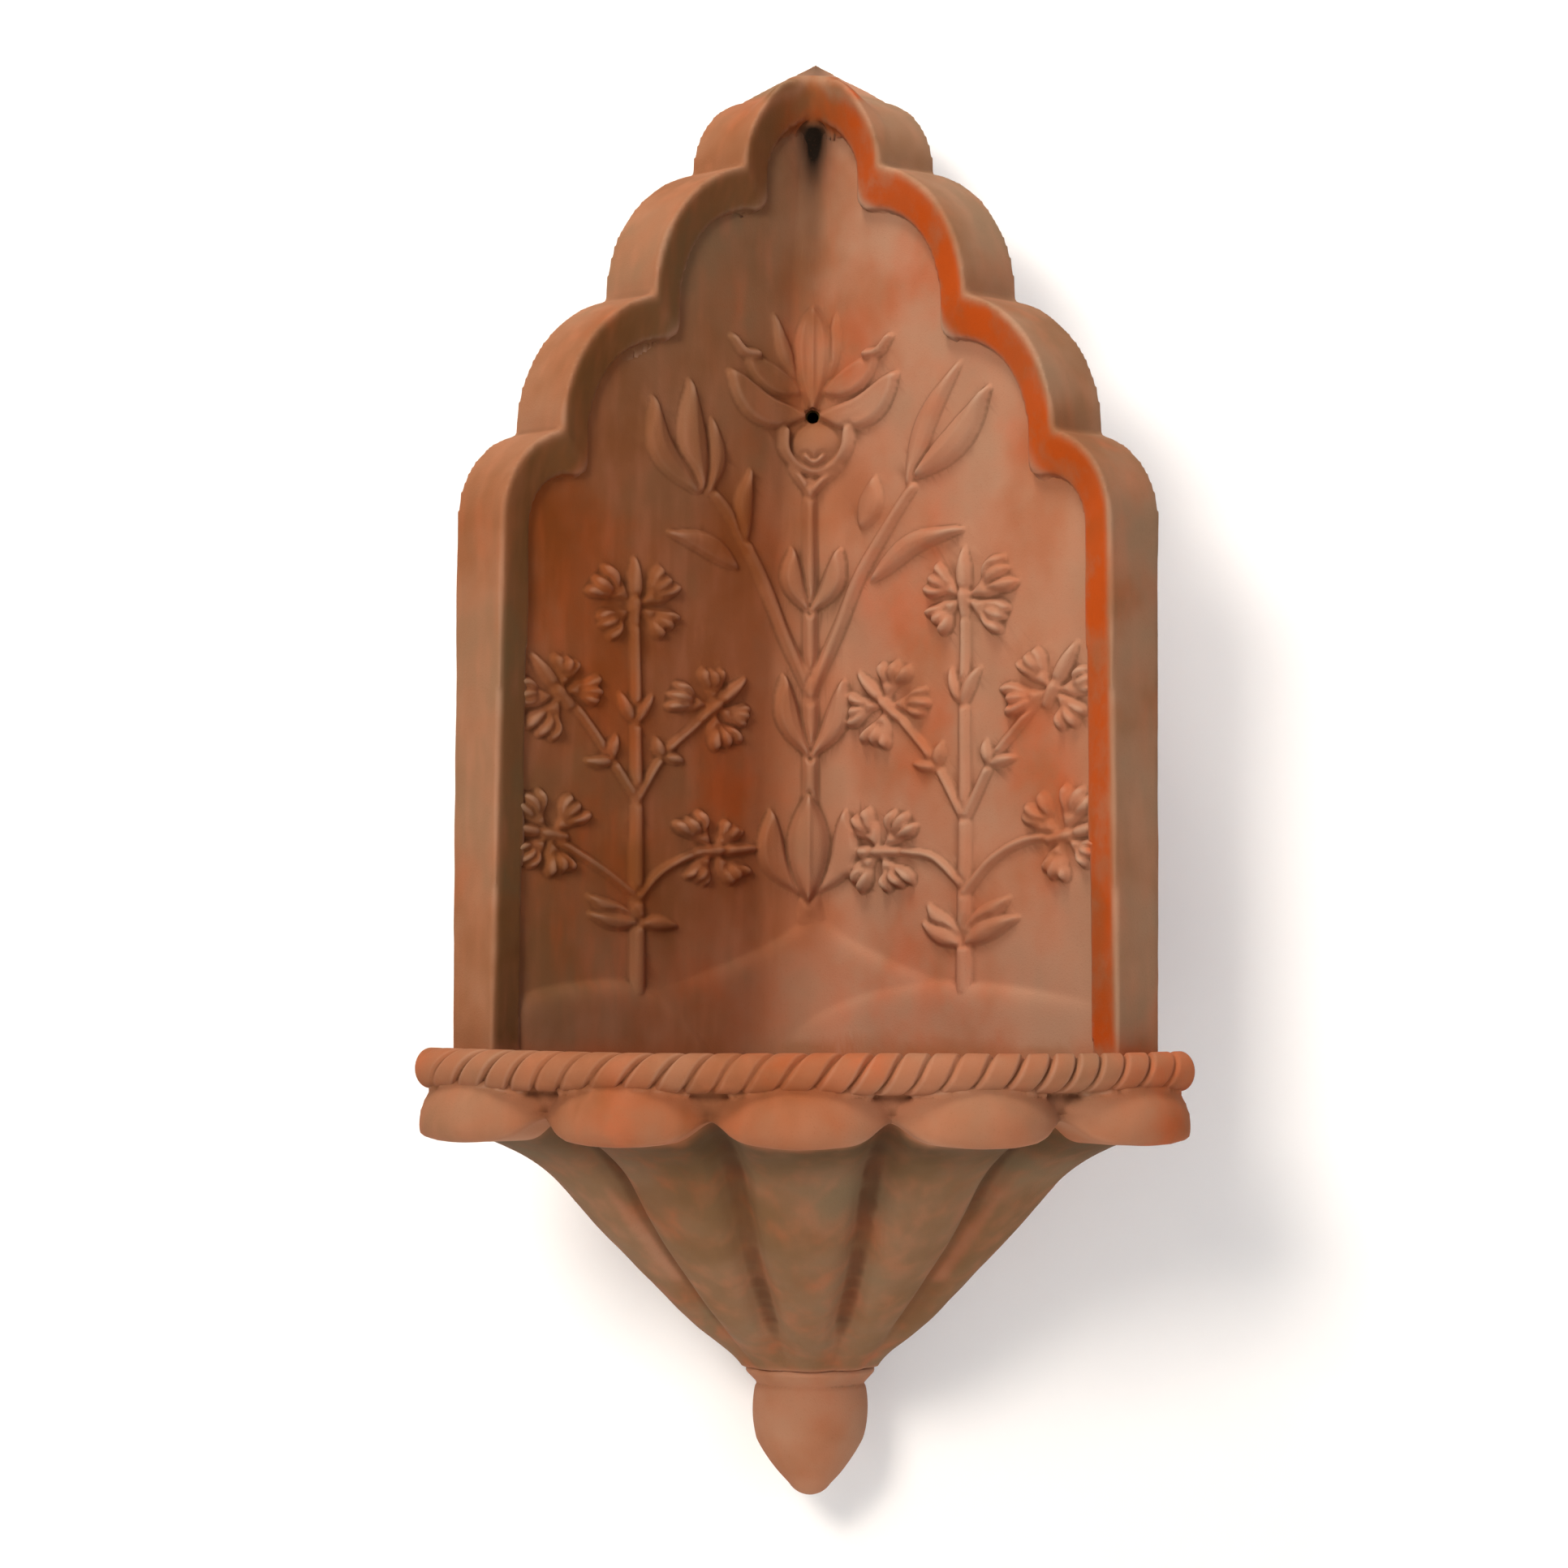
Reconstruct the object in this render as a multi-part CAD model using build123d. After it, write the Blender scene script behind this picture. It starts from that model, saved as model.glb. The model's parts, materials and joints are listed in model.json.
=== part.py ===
# Corner fountain: a terracotta niche and bowl hung in the corner of two walls.
# Millimetres. The corner of the walls is the Z axis and the room lies toward -Y.
# Z is zero on the bed of the bowl, where the niche stands.
from build123d import *
from math import acos, asin, atan2, cos, hypot, pi, radians, sin, sqrt
import os

# Niche outline, measured along each wall from the corner
niche_set_in = 8
niche_height = 638
foil_1_run = 44
foil_1_rise = 56
foil_2_run = 70.5
foil_2_rise = 87.5
foil_3_run = 70.5
foil_3_rise = 87
shoulder_run = 40
shoulder_rise = 48
tip_rise = 35.5

# Niche thickness, measured off each wall
niche_thick_foot = 35
niche_thick_top = 50
rim_lip = 4
rim_width = 20
rim_bevel = 6
field_recess = 12
web = 12
flange = 15
cove_foot = 60
cove_top = 8
chase = 26

# Floral relief on the niche, as seen from the room
relief_rise = 4.5
relief_sunk = 2
stem_width = 9
twig_width = 6
fork_height = 237
calyx_foot = 108
calyx_length = 66
calyx_width = 25
sepal_spread = 22
leaf_length = 48
leaf_width = 14
leaf_spread = 20
side_leaf_length = 50
side_bud_out = 66
side_bud_height = 358
side_bud_length = 62
side_bud_width = 20
petal_length = 68
petal_width = 22
wing_out = 48
high_wing_rise = 39
low_wing_rise = 18
wing_width = 18
pouch_radius = 22
pouch_drop = 16
left_plant = 104
right_plant = 94.5
plant_foot = 52
plant_top = 286
low_twig = 112
low_flower_out = 50
low_flower_up = 30
high_twig = 166
high_flower_out = 45
high_flower_up = 62
flower_reach = 24
flower_petal = 17
mound_height = 78
mound_width = 150

# Bed joint
gasket_thick = 3
pin_radius = 4
pin_length = 40

# Bowl
bowl_reach = 289
bowl_wall = 10
floor_thick = 18
back_wall = 35
bowl_cove = 40
rope_proud = 7.5
rope_radius = 11.5
rope_lift = 9
drum_depth = 24
lobe_count = 5
lobe_turn = 19.5
lobe_proud = 25
lobe_radius = 60
lobe_depth = 33
lobe_edge = 9
lobe_sag = 10

# Corbel
corbel_height = 179
corbel_reach = 230
corbel_belly = 8
corbel_flare = 22
flare_power = 17
rib_bulge = 0.05
corbel_shell = 21
foot_plate = 15

# Finial
collar_radius = 40
collar_height = 12
bud_radius = 35.5
bud_height = 68
stud_radius = 5
stud_grip = 38
washer_radius = 11
washer_thick = 2
nut_flats = 16
nut_height = 8

# Water way
spout_height = 410
spout_radius = 4.8
spout_bore = 3.6
seat_radius = 9
seat_cut = 2
hose_radius = 6
hose_bore = 4.5
hose_bend = 33
hose_depth = 13
nipple_grip = 12
nipple_clear = 2
clip_thick = 1.2
clip_width = 7

# Pump, its shaft along X
pump_clear = 2.5
floor_margin = 6
foot_height = 5
foot_radius = 5.5
foot_inset = 10
rotor_offset = 5
rotor_radius = 8
rotor_length = 14
chamber_radius = 12
chamber_depth = 12
chamber_wall = 2.5
shaft_radius = 1.5
bush_radius = 3
bush_length = 3
rotor_end_gap = 6
body_end_wall = 4
impeller_radius = 10
impeller_blades = 6
strainer_wall = 2
strainer_gap = 1.5
strainer_depth = 22
strainer_slots = 7
dial_radius = 9
dial_thick = 3
core_leg = 4
core_depth = 12
gland_radius = 4
gland_length = 6

# Hangers
hanger_height = 432
hanger_clear = 26
hanger_pitch = 66
hanger_edge = 4
hanger_thick = 3
hanger_sunk = 4
key_radius = 6
key_slot = 2.75
key_rise = 15
screw_radius = 2.5
insert_radius = 3.5
insert_length = 9
boss_radius = 8

# Fits
fit = 0.1
bore_fit = 0.05
run_fit = 0.08
slack = 0.5

# Sizes that follow
root2 = sqrt(2)
drum_reach = bowl_reach + bowl_wall
rope_reach = drum_reach + rope_proud
lobe_reach = drum_reach + lobe_proud
niche_reach = drum_reach - niche_set_in
niche_foot = gasket_thick
apex = niche_foot + niche_height
foils = ((foil_1_run, foil_1_rise), (foil_2_run, foil_2_rise), (foil_3_run, foil_3_rise))
spring = apex - foil_1_rise - foil_2_rise - foil_3_rise - shoulder_rise - tip_rise
field_foot = niche_thick_foot - field_recess
field_top = niche_thick_top - field_recess
hollow_foot = field_foot - web
hollow_top = field_top - web
corbel_foot = -corbel_height
hose_y = -chase / root2
joint_x = chamber_depth / 2 + bush_length / 3
pump_length = rotor_length + rotor_end_gap + bush_length + body_end_wall
pump_width = 2 * (rotor_offset + chamber_radius + chamber_wall + strainer_wall + slack)
pump_height = 2 * (chamber_radius + chamber_wall + strainer_wall + strainer_gap)
body_end = joint_x + pump_length
pump_y = -back_wall * root2 - body_end - pump_width / 2 - pump_clear
floor_reach = pump_width / 2 - pump_y + floor_margin
hose_level = -hose_depth
nipple_top = hose_level - hose_bend
pump_top = nipple_top - nipple_grip - nipple_clear
pump_base = pump_top - pump_height
floor_level = pump_base - foot_height
axle_y = pump_y - rotor_offset
axle_z = pump_base + pump_height / 2
cover_end = joint_x - chamber_depth - chamber_wall
strainer_end = joint_x - strainer_depth
pocket_end = joint_x + rotor_length + rotor_end_gap
hose_groove = hose_radius + 1.5
pin_along = niche_reach - flange / 2
pin_off = niche_thick_foot / 2
hanger_length = hanger_pitch + boss_radius * 2
hanger_width = key_rise + (key_radius + hanger_edge) * 2

right_wall = Plane(origin=(0, 0, 0), x_dir=(1, -1, 0), z_dir=(-1, -1, 0))


def block(x0, x1, y0, y1, z0, z1):
    return Pos((x0 + x1) / 2, (y0 + y1) / 2, (z0 + z1) / 2) * Box(x1 - x0, y1 - y0, z1 - z0)


def rod_x(x0, x1, radius, y, z):
    return Pos((x0 + x1) / 2, y, z) * Rot(0, 90, 0) * Cylinder(radius, x1 - x0)


def rod_y(y0, y1, radius, x, z):
    return Pos(x, (y0 + y1) / 2, z) * Rot(90, 0, 0) * Cylinder(radius, y1 - y0)


def rod_z(z0, z1, radius, x, y):
    return Pos(x, y, (z0 + z1) / 2) * Cylinder(radius, z1 - z0)


def corner_prism(off, width, z0, z1):
    # A square post whose back faces stand off both walls by the same distance.
    size = width - off
    middle = -(off + size / 2) * root2
    return Pos(0, middle, (z0 + z1) / 2) * Rot(0, 0, 45) * Box(size, size, z1 - z0)


def wall_point(along, off, side):
    return side * (along - off) / root2, -(along + off) / root2


def mirrored(shape):
    return mirror(shape, about=Plane.YZ)


def arch_face(inset):
    # The niche outline in the wall plane, drawn in from its edge by the inset.
    foot = niche_foot - inset
    edges = [Line((0, foot), (niche_reach - inset, foot))]
    edges.append(Line((niche_reach - inset, foot), (niche_reach - inset, spring)))
    reach = niche_reach
    height = spring
    for run, rise in foils:
        radius = (run * run + rise * rise) / (2 * run)
        inner = radius - inset
        middle = reach - radius
        turn = acos((radius - run - inset) / inner)
        start = (reach - inset, height)
        half = (middle + inner * cos(turn / 2), height + inner * sin(turn / 2))
        end = (middle + inner * cos(turn), height + inner * sin(turn))
        edges.append(ThreePointArc(start, half, end))
        reach -= run
        height += rise
        if height - end[1] > 0.01:
            edges.append(Line(end, (reach - inset, height)))
    radius = (shoulder_run * shoulder_run + shoulder_rise * shoulder_rise) / (2 * shoulder_run)
    inner = radius - inset
    middle = reach - radius
    turn = acos(1 - shoulder_run / radius)
    start = (reach - inset, height)
    half = (middle + inner * cos(turn / 2), height + inner * sin(turn / 2))
    end = (middle + inner * cos(turn), height + inner * sin(turn))
    edges.append(ThreePointArc(start, half, end))
    # The ogee tip turns the other way, round a centre outside the arch.
    tip_run = reach - shoulder_run
    chord = hypot(tip_run, tip_rise)
    lean = asin(tip_rise / chord) - (pi / 2 - turn)
    sweep = chord / (2 * sin(lean))
    far = (middle + (radius + sweep) * cos(turn), height + (radius + sweep) * sin(turn))
    outer = sweep + inset
    last = asin(far[0] / outer)
    first = pi / 2 - turn
    half_turn = (first + last) / 2
    half = (far[0] - outer * sin(half_turn), far[1] - outer * cos(half_turn))
    tip = (0, far[1] - outer * cos(last))
    edges.append(ThreePointArc(end, half, tip))
    edges.append(Line(tip, (0, foot)))
    return make_face(edges)


def arch_slab(inset):
    return extrude(right_wall * arch_face(inset), niche_thick_top + niche_thick_foot)


def wall_layer(at_foot, at_top):
    # The space between the right wall and a face that leans out from foot to apex.
    plane = Plane(origin=(0, 0, niche_foot), x_dir=(-1, -1, 0), z_dir=(-1, 1, 0))
    outline = Polyline((0, 0), (at_foot, 0), (at_top, niche_height), (0, niche_height), (0, 0))
    return extrude(plane * make_face(outline), niche_reach * 2, both=True)


def rim_bevel_space():
    # Takes the rim down from its lip to its inner edge, square to the leaning front face.
    lean = atan2(niche_thick_top - niche_thick_foot, niche_height)
    corner = (-niche_thick_foot / root2, -niche_thick_foot / root2, niche_foot)
    normal = (-cos(lean) / root2, -cos(lean) / root2, -sin(lean))
    front = Plane(origin=corner, x_dir=(1, -1, 0), z_dir=normal)
    ledge = rim_width - 1.5
    slope = (ledge - rim_lip) / rim_bevel
    above = front.offset(1) * Pos(0, -niche_foot) * arch_face(rim_lip - slope)
    below = front.offset(-rim_bevel) * Pos(0, -niche_foot) * arch_face(ledge)
    return loft([above, below], ruled=True)


def cove_section(off, radius, z):
    # The rounded fill of the inner corner, its back buried in the web.
    crease = -off * root2
    side = radius / root2
    back = (0, crease + web / 3)
    left = (-side, crease - side)
    right = (side, crease - side)
    front = (0, crease - radius * (root2 - 1))
    edges = [Line(back, left), ThreePointArc(left, front, right), Line(right, back)]
    return Pos(0, 0, z) * make_face(edges)


def arch_reach_at(height):
    # How far the niche outline reaches along the wall at a height.
    reach = niche_reach
    level = spring
    for run, rise in foils + ((shoulder_run, shoulder_rise),):
        if height < level + rise:
            radius = (run * run + rise * rise) / (2 * run)
            above = max(height - level, 0)
            return reach - radius + sqrt(radius * radius - above * above)
        reach -= run
        level += rise
    return reach


def hanger_along():
    # The hanger keeps clear of the flange behind the arch.
    edge = arch_reach_at(hanger_height + hanger_width / 2) - flange
    return edge - hanger_clear - hanger_length / 2


def hanger_spots():
    spots = []
    for along in (hanger_along() - hanger_pitch / 2, hanger_along() + hanger_pitch / 2):
        spots.append((along, hanger_height))
    return spots


def field_at(height):
    share = (height - niche_foot) / niche_height
    return field_foot + (field_top - field_foot) * share


def cove_at(height):
    share = (height - niche_foot) / niche_height
    return cove_foot + (cove_top - cove_foot) * share


def seat_level():
    return -chase * root2 - seat_cut


def leaf_face(base, tip, width):
    # A pointed leaf between two arcs.
    across = width / 2 / hypot(tip[0] - base[0], tip[1] - base[1])
    middle = ((base[0] + tip[0]) / 2, (base[1] + tip[1]) / 2)
    side = ((base[1] - tip[1]) * across, (tip[0] - base[0]) * across)
    left = (middle[0] + side[0], middle[1] + side[1])
    right = (middle[0] - side[0], middle[1] - side[1])
    return make_face([ThreePointArc(base, left, tip), ThreePointArc(tip, right, base)])


def stem_face(start, bow, end, width):
    # A stalk that bows through a point on its way.
    return trace(ThreePointArc(start, bow, end), width)


def mound_face(middle):
    half = mound_width / 2
    return make_face([ThreePointArc((middle - half, 0), (middle, mound_height), (middle + half, 0)),
                      Line((middle + half, 0), (middle - half, 0))])


def flower_faces(middle, turn):
    # Four broad petals, and a slim bud between the upper two.
    faces = []
    for angle, width in ((0, flower_petal / 2), (57, flower_petal), (125, flower_petal),
                         (-57, flower_petal), (-125, flower_petal)):
        heading = radians(turn + angle)
        tip = (middle[0] + flower_reach * sin(heading), middle[1] + flower_reach * cos(heading))
        faces.append(leaf_face(middle, tip, width))
    return faces


def side_plant_faces(middle):
    stem = Rectangle(twig_width, plant_top - plant_foot)
    faces = [mound_face(middle), Pos(middle, (plant_foot + plant_top) / 2) * stem]
    faces += flower_faces((middle, plant_top), 0)
    twigs = ((low_twig, low_flower_out, low_flower_up, 50),
             (high_twig, high_flower_out, high_flower_up, 30))
    for side in (-1, 1):
        for level, out, up, turn in twigs:
            end = (middle + side * out, level + up)
            bow = (middle + side * out * 0.55, level + up * 0.62)
            faces.append(stem_face((middle, level), bow, end, twig_width))
            faces += flower_faces(end, side * turn)
        foot = plant_foot + leaf_length / 2
        tip = (middle + side * leaf_length * 0.55, foot + leaf_width)
        faces.append(leaf_face((middle, foot), tip, leaf_width))
    return faces


def middle_plant_faces():
    calyx = calyx_foot + calyx_length
    pouch = spout_height - pouch_drop
    faces = [mound_face(0), leaf_face((0, calyx_foot), (0, calyx), calyx_width)]
    low = plant_foot + leaf_width
    faces.append(Pos(0, (low + pouch) / 2) * Rectangle(stem_width, pouch - low))
    faces.append(leaf_face((0, spout_height), (0, spout_height + petal_length), petal_width))
    faces.append(Pos(0, pouch) * Circle(pouch_radius))
    for side in (-1, 1):
        faces.append(leaf_face((0, calyx_foot), (side * sepal_spread, calyx - leaf_width), leaf_width))
        for level in (fork_height - leaf_length * 0.82, fork_height + leaf_length):
            faces.append(leaf_face((0, level), (side * leaf_spread, level + leaf_length), leaf_width))
        end = (side * side_bud_out, side_bud_height)
        bow = (end[0] * 0.52, fork_height + (side_bud_height - fork_height) * 0.62)
        faces.append(stem_face((0, fork_height), bow, end, stem_width * 0.8))
        root = (end[0] - side * stem_width / 2, end[1] - stem_width / 2)
        faces.append(leaf_face(bow, (bow[0] + side * side_leaf_length, bow[1] + leaf_width), leaf_width))
        for lean in (10, 30):
            tip_out = side_bud_out + side_bud_length * sin(radians(lean))
            tip_height = side_bud_height + side_bud_length * cos(radians(lean))
            faces.append(leaf_face(root, (side * tip_out, tip_height), side_bud_width))
        for rise in (high_wing_rise, low_wing_rise):
            faces.append(leaf_face((0, spout_height), (side * wing_out, spout_height + rise), wing_width))
    return faces


def make_relief():
    # The plants stand up from the field by one height, over both walls and the cove between them.
    rim = arch_slab(rim_width)
    layer = wall_layer(field_foot + relief_rise, field_top + relief_rise)
    layer -= wall_layer(field_foot - relief_sunk, field_top - relief_sunk)
    layer &= rim
    layer &= block(0, niche_reach, -niche_reach, 1, 0, apex + 1)
    fill = loft([cove_section(field_foot + relief_rise, cove_foot - relief_rise, niche_foot),
                 cove_section(field_top + relief_rise, cove_top - relief_rise, apex)], ruled=True)
    layer = layer + mirrored(layer) + (fill & (rim + mirrored(rim)))
    faces = middle_plant_faces() + side_plant_faces(-left_plant) + side_plant_faces(right_plant)
    plants = extrude(Plane.XZ * (Sketch() + faces), niche_reach)
    return (layer & plants) - corner_prism(0, chase, 0, spout_height + chase)


def make_plain_niche():
    rim = arch_slab(rim_width)
    half = arch_slab(0) & wall_layer(niche_thick_foot, niche_thick_top)
    half -= rim - wall_layer(field_foot, field_top)
    half -= rim_bevel_space()
    half -= arch_slab(flange) & wall_layer(hollow_foot, hollow_top)
    boss_level = hanger_sunk + hanger_thick
    for along, height in hanger_spots():
        place = right_wall.offset(boss_level) * Pos(along, height)
        depth = field_at(height) - web / 2 - boss_level
        half += place * Cylinder(boss_radius, depth, align=(Align.CENTER, Align.CENTER, Align.MIN))
        half -= place * Cylinder(insert_radius + bore_fit, insert_length * 2)
    half &= block(0, niche_reach, -niche_reach, 1, 0, apex + 1)
    fill = loft([cove_section(field_foot, cove_foot, niche_foot),
                 cove_section(field_top, cove_top, apex)], ruled=True)
    niche = half + mirrored(half) + (fill & (rim + mirrored(rim)))
    niche -= corner_prism(0, chase, 0, spout_height + chase)
    niche -= rod_y(-niche_reach, 0, spout_radius + fit, 0, spout_height)
    niche -= rod_y(seat_level(), 0, seat_radius, 0, spout_height)
    for side in (-1, 1):
        x, y = wall_point(pin_along, pin_off, side)
        niche -= rod_z(0, pin_length / 2 + niche_foot / 2 + 1, pin_radius + bore_fit, x, y)
    return niche


def make_niche():
    niche = make_plain_niche() + make_relief()
    return niche - rod_y(-niche_reach, 0, spout_radius + fit, 0, spout_height)


def make_gasket():
    foot = Plane(origin=(0, 0, niche_foot + 1))
    strip = section(make_plain_niche(), section_by=foot)
    return extrude(Pos(0, 0, -niche_foot - 1) * strip, gasket_thick)


def corbel_reach_at(height):
    # Reach along the walls at a height above the corbel foot: a belly, then a sharp flare.
    share = height / (corbel_height - lobe_depth)
    foot_reach = collar_radius * root2
    straight = foot_reach + (corbel_reach - foot_reach) * share
    return straight + corbel_belly * sin(pi * share) + corbel_flare * share ** flare_power


def corbel_front(reach, share, angle):
    # Round about the corner at the top, round about the finial at the foot.
    return reach * (1 + (1 - share) * (root2 * cos(radians(angle)) - 1))


def polar(radius, angle, z):
    return radius * sin(radians(angle)), -radius * cos(radians(angle)), z


def rib_section(reach, share, z):
    # One level of the fluted corbel, a rib past each wall so that the walls trim it clean.
    edges = []
    first = -lobe_turn * (lobe_count + 2) / 2
    for rib in range(lobe_count + 2):
        low = first + rib * lobe_turn
        middle = low + lobe_turn / 2
        high = low + lobe_turn
        crown = corbel_front(reach, share, middle) * (1 + rib_bulge)
        start = polar(corbel_front(reach, share, low), low, z)
        end = polar(corbel_front(reach, share, high), high, z)
        edges.append(ThreePointArc(start, polar(crown, middle, z), end))
    back = (0, reach / 2, z)
    edges.append(Line(edges[-1] @ 1, back))
    edges.append(Line(back, edges[0] @ 0))
    return make_face(edges)


def plain_section(reach, share, z):
    last = lobe_turn * (lobe_count + 2) / 2
    left = polar(corbel_front(reach, share, -last), -last, z)
    right = polar(corbel_front(reach, share, last), last, z)
    front = polar(corbel_front(reach, share, 0), 0, z)
    back = (0, reach / 2, z)
    return make_face([ThreePointArc(left, front, right), Line(right, back), Line(back, left)])


def make_lobe():
    # A round cushion, its lower edge cut to a shallow tongue.
    low = -lobe_depth
    high = -1
    top = lobe_radius * 0.84
    middle = (low + high) / 2
    edges = [Line((0, low), (lobe_radius - lobe_edge, low))]
    turn = lobe_edge * (1 - cos(pi / 4))
    edges.append(ThreePointArc((lobe_radius - lobe_edge, low), (lobe_radius - turn, low + turn),
                               (lobe_radius, low + lobe_edge)))
    edges.append(ThreePointArc((lobe_radius, low + lobe_edge), (lobe_radius * 0.965, middle + lobe_edge / 2),
                               (top, high)))
    edges.append(Line((top, high), (0, high)))
    edges.append(Line((0, high), (0, low)))
    cushion = revolve(Plane.XZ * make_face(edges), Axis.Z)
    side = lobe_radius
    tongue = [ThreePointArc((-side, low + lobe_sag), (0, low), (side, low + lobe_sag)),
              Line((side, low + lobe_sag), (side, high)), Line((side, high), (-side, high)),
              Line((-side, high), (-side, low + lobe_sag))]
    return cushion & extrude(Plane.XZ * make_face(tongue), lobe_radius, both=True)


def bowl_space():
    slope_top = corbel_reach - corbel_shell
    sloped = FilletPolyline((0, floor_level), (floor_reach, floor_level),
                            (slope_top, -lobe_depth), (bowl_reach, -drum_depth / 2),
                            (bowl_reach, rope_lift * 4), radius=14)
    edges = [sloped, Line(sloped @ 1, (0, rope_lift * 4)), Line((0, rope_lift * 4), (0, floor_level))]
    round_space = revolve(Plane.XZ * make_face(edges), Axis.Z)
    corner = corner_prism(back_wall, rope_reach + back_wall, floor_level, rope_lift * 4)
    back_edge = corner.edges().filter_by(Axis.Z).sort_by(Axis.Y)[-1]
    return round_space & fillet(back_edge, bowl_cove)


def make_basin():
    rise = corbel_height - lobe_depth
    levels = []
    for share in (0, 0.15, 0.32, 0.56, 0.78, 0.9, 0.96, 1):
        height = rise * share
        levels.append(rib_section(corbel_reach_at(height), height / corbel_height, corbel_foot + height))
    neck_low = rib_section(corbel_reach_at(rise), rise / corbel_height, -lobe_depth)
    neck_high = rib_section(corbel_reach_at(rise) + lobe_edge, 1, -drum_depth + 2)
    corbel = loft(levels) + loft([neck_low, neck_high], ruled=True)
    basin = corbel + rod_z(-drum_depth, 0, drum_reach, 0, 0)
    lobe = make_lobe()
    for index in range(lobe_count):
        turn = lobe_turn * (index - (lobe_count - 1) / 2)
        basin += Rot(0, 0, turn) * Pos(0, lobe_radius - lobe_reach, 0) * lobe
    basin += Pos(0, 0, rope_lift) * Torus(rope_reach, rope_radius)
    basin &= corner_prism(0, lobe_reach + 1, corbel_foot, rope_lift + rope_radius + 1)
    basin -= bowl_space()
    hollow = []
    hollow_top_level = floor_level - floor_thick
    hollow_low_level = corbel_foot + foot_plate
    for z in (hollow_low_level, (hollow_low_level + hollow_top_level) / 2, hollow_top_level):
        height = z - corbel_foot
        reach = corbel_reach_at(height) - corbel_shell
        hollow.append(plain_section(reach, height / corbel_height, z))
    basin -= loft(hollow, ruled=True)
    basin -= rod_z(corbel_foot - 1, hollow_low_level + 1, stud_radius + slack, 0, -collar_radius)
    groove_front = -(back_wall + bowl_cove / 2) * root2
    basin -= rod_y(groove_front, hose_y, hose_groove, 0, hose_level)
    basin -= block(-hose_groove, hose_groove, groove_front, hose_y, hose_level, 1)
    basin -= rod_z(hose_level, 1, hose_groove, 0, hose_y)
    for side in (-1, 1):
        x, y = wall_point(pin_along, pin_off, side)
        basin -= rod_z(-pin_length / 2 + niche_foot / 2 - 1, 1, pin_radius + bore_fit, x, y)
    return basin


def make_pins():
    pins = []
    for side in (-1, 1):
        x, y = wall_point(pin_along, pin_off, side)
        middle = niche_foot / 2
        pins.append(rod_z(middle - pin_length / 2, middle + pin_length / 2, pin_radius, x, y))
    return Compound(children=pins)


def make_finial():
    # A tapered collar over a bud whose tip is part of a ball.
    neck = bud_radius * 0.97
    low = -bud_height
    ball = bud_radius * 0.42
    cap = []
    for angle in (60, 30, 0):
        cap.append((ball * sin(radians(angle)), low + ball * (1 - cos(radians(angle)))))
    edges = [Line((0, collar_height), (collar_radius, collar_height)),
             Line((collar_radius, collar_height), (collar_radius, collar_height * 0.75)),
             Line((collar_radius, collar_height * 0.75), (neck - 2, 1)),
             Line((neck - 2, 1), (neck, 0)),
             ThreePointArc((neck, 0), (bud_radius, low * 0.28), (bud_radius * 0.93, low * 0.48)),
             ThreePointArc((bud_radius * 0.93, low * 0.48), (bud_radius * 0.69, low * 0.69), cap[0]),
             ThreePointArc(*cap),
             Line((0, low), (0, collar_height))]
    bud = revolve(Plane.XZ * make_face(edges), Axis.Z)
    finial = Pos(0, -collar_radius, corbel_foot - collar_height) * bud
    bottom = corbel_foot - collar_height - bud_height
    finial &= corner_prism(0, collar_radius * 3, bottom - 1, corbel_foot)
    return finial - rod_z(corbel_foot - stud_grip - 2, corbel_foot + 1, stud_radius + fit, 0, -collar_radius)


def make_stud():
    top = corbel_foot + foot_plate + washer_thick + nut_height + stud_radius
    return rod_z(corbel_foot - stud_grip, top, stud_radius, 0, -collar_radius)


def make_stud_washer():
    low = corbel_foot + foot_plate
    ring = rod_z(low, low + washer_thick, washer_radius, 0, -collar_radius)
    return ring - rod_z(low - 1, low + washer_thick + 1, stud_radius + slack, 0, -collar_radius)


def make_stud_nut():
    low = corbel_foot + foot_plate + washer_thick
    hexagon = RegularPolygon(nut_flats / 2, 6, major_radius=False)
    nut = Pos(0, -collar_radius, low) * extrude(hexagon, nut_height)
    return nut - rod_z(low - 1, low + nut_height + 1, stud_radius + fit, 0, -collar_radius)


def elbow_path():
    front = -field_at(spout_height) * root2 - cove_at(spout_height) * (root2 - 1) + seat_radius
    tail = spout_height - nipple_grip - spout_radius * 3
    return FilletPolyline((0, front, spout_height), (0, hose_y, spout_height), (0, hose_y, tail),
                          radius=spout_radius * 2)


def round_sweep(path, radius):
    plane = Plane(origin=path @ 0, z_dir=path % 0)
    return sweep(plane * Circle(radius), path=path)


def make_elbow():
    path = elbow_path()
    level = seat_level() + 2
    elbow = round_sweep(path, hose_bore - bore_fit)
    elbow += rod_y((path @ 0).Y, level + 4, spout_radius, 0, spout_height)
    elbow += rod_y(level, level + 2, seat_radius - 1, 0, spout_height)
    return elbow - round_sweep(path, spout_bore)


def make_spout_washer():
    level = seat_level()
    ring = rod_y(level, level + 2, seat_radius - 1, 0, spout_height)
    return ring - rod_y(level - 1, level + 3, spout_radius + fit, 0, spout_height)


def hose_ends():
    return nipple_top - nipple_grip, spout_height - spout_radius * 3


def make_hose():
    low, high = hose_ends()
    path = FilletPolyline((0, pump_y, low), (0, pump_y, hose_level), (0, hose_y, hose_level),
                          (0, hose_y, high), radius=hose_bend)
    return round_sweep(path, hose_radius) - round_sweep(path, hose_bore)


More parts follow.
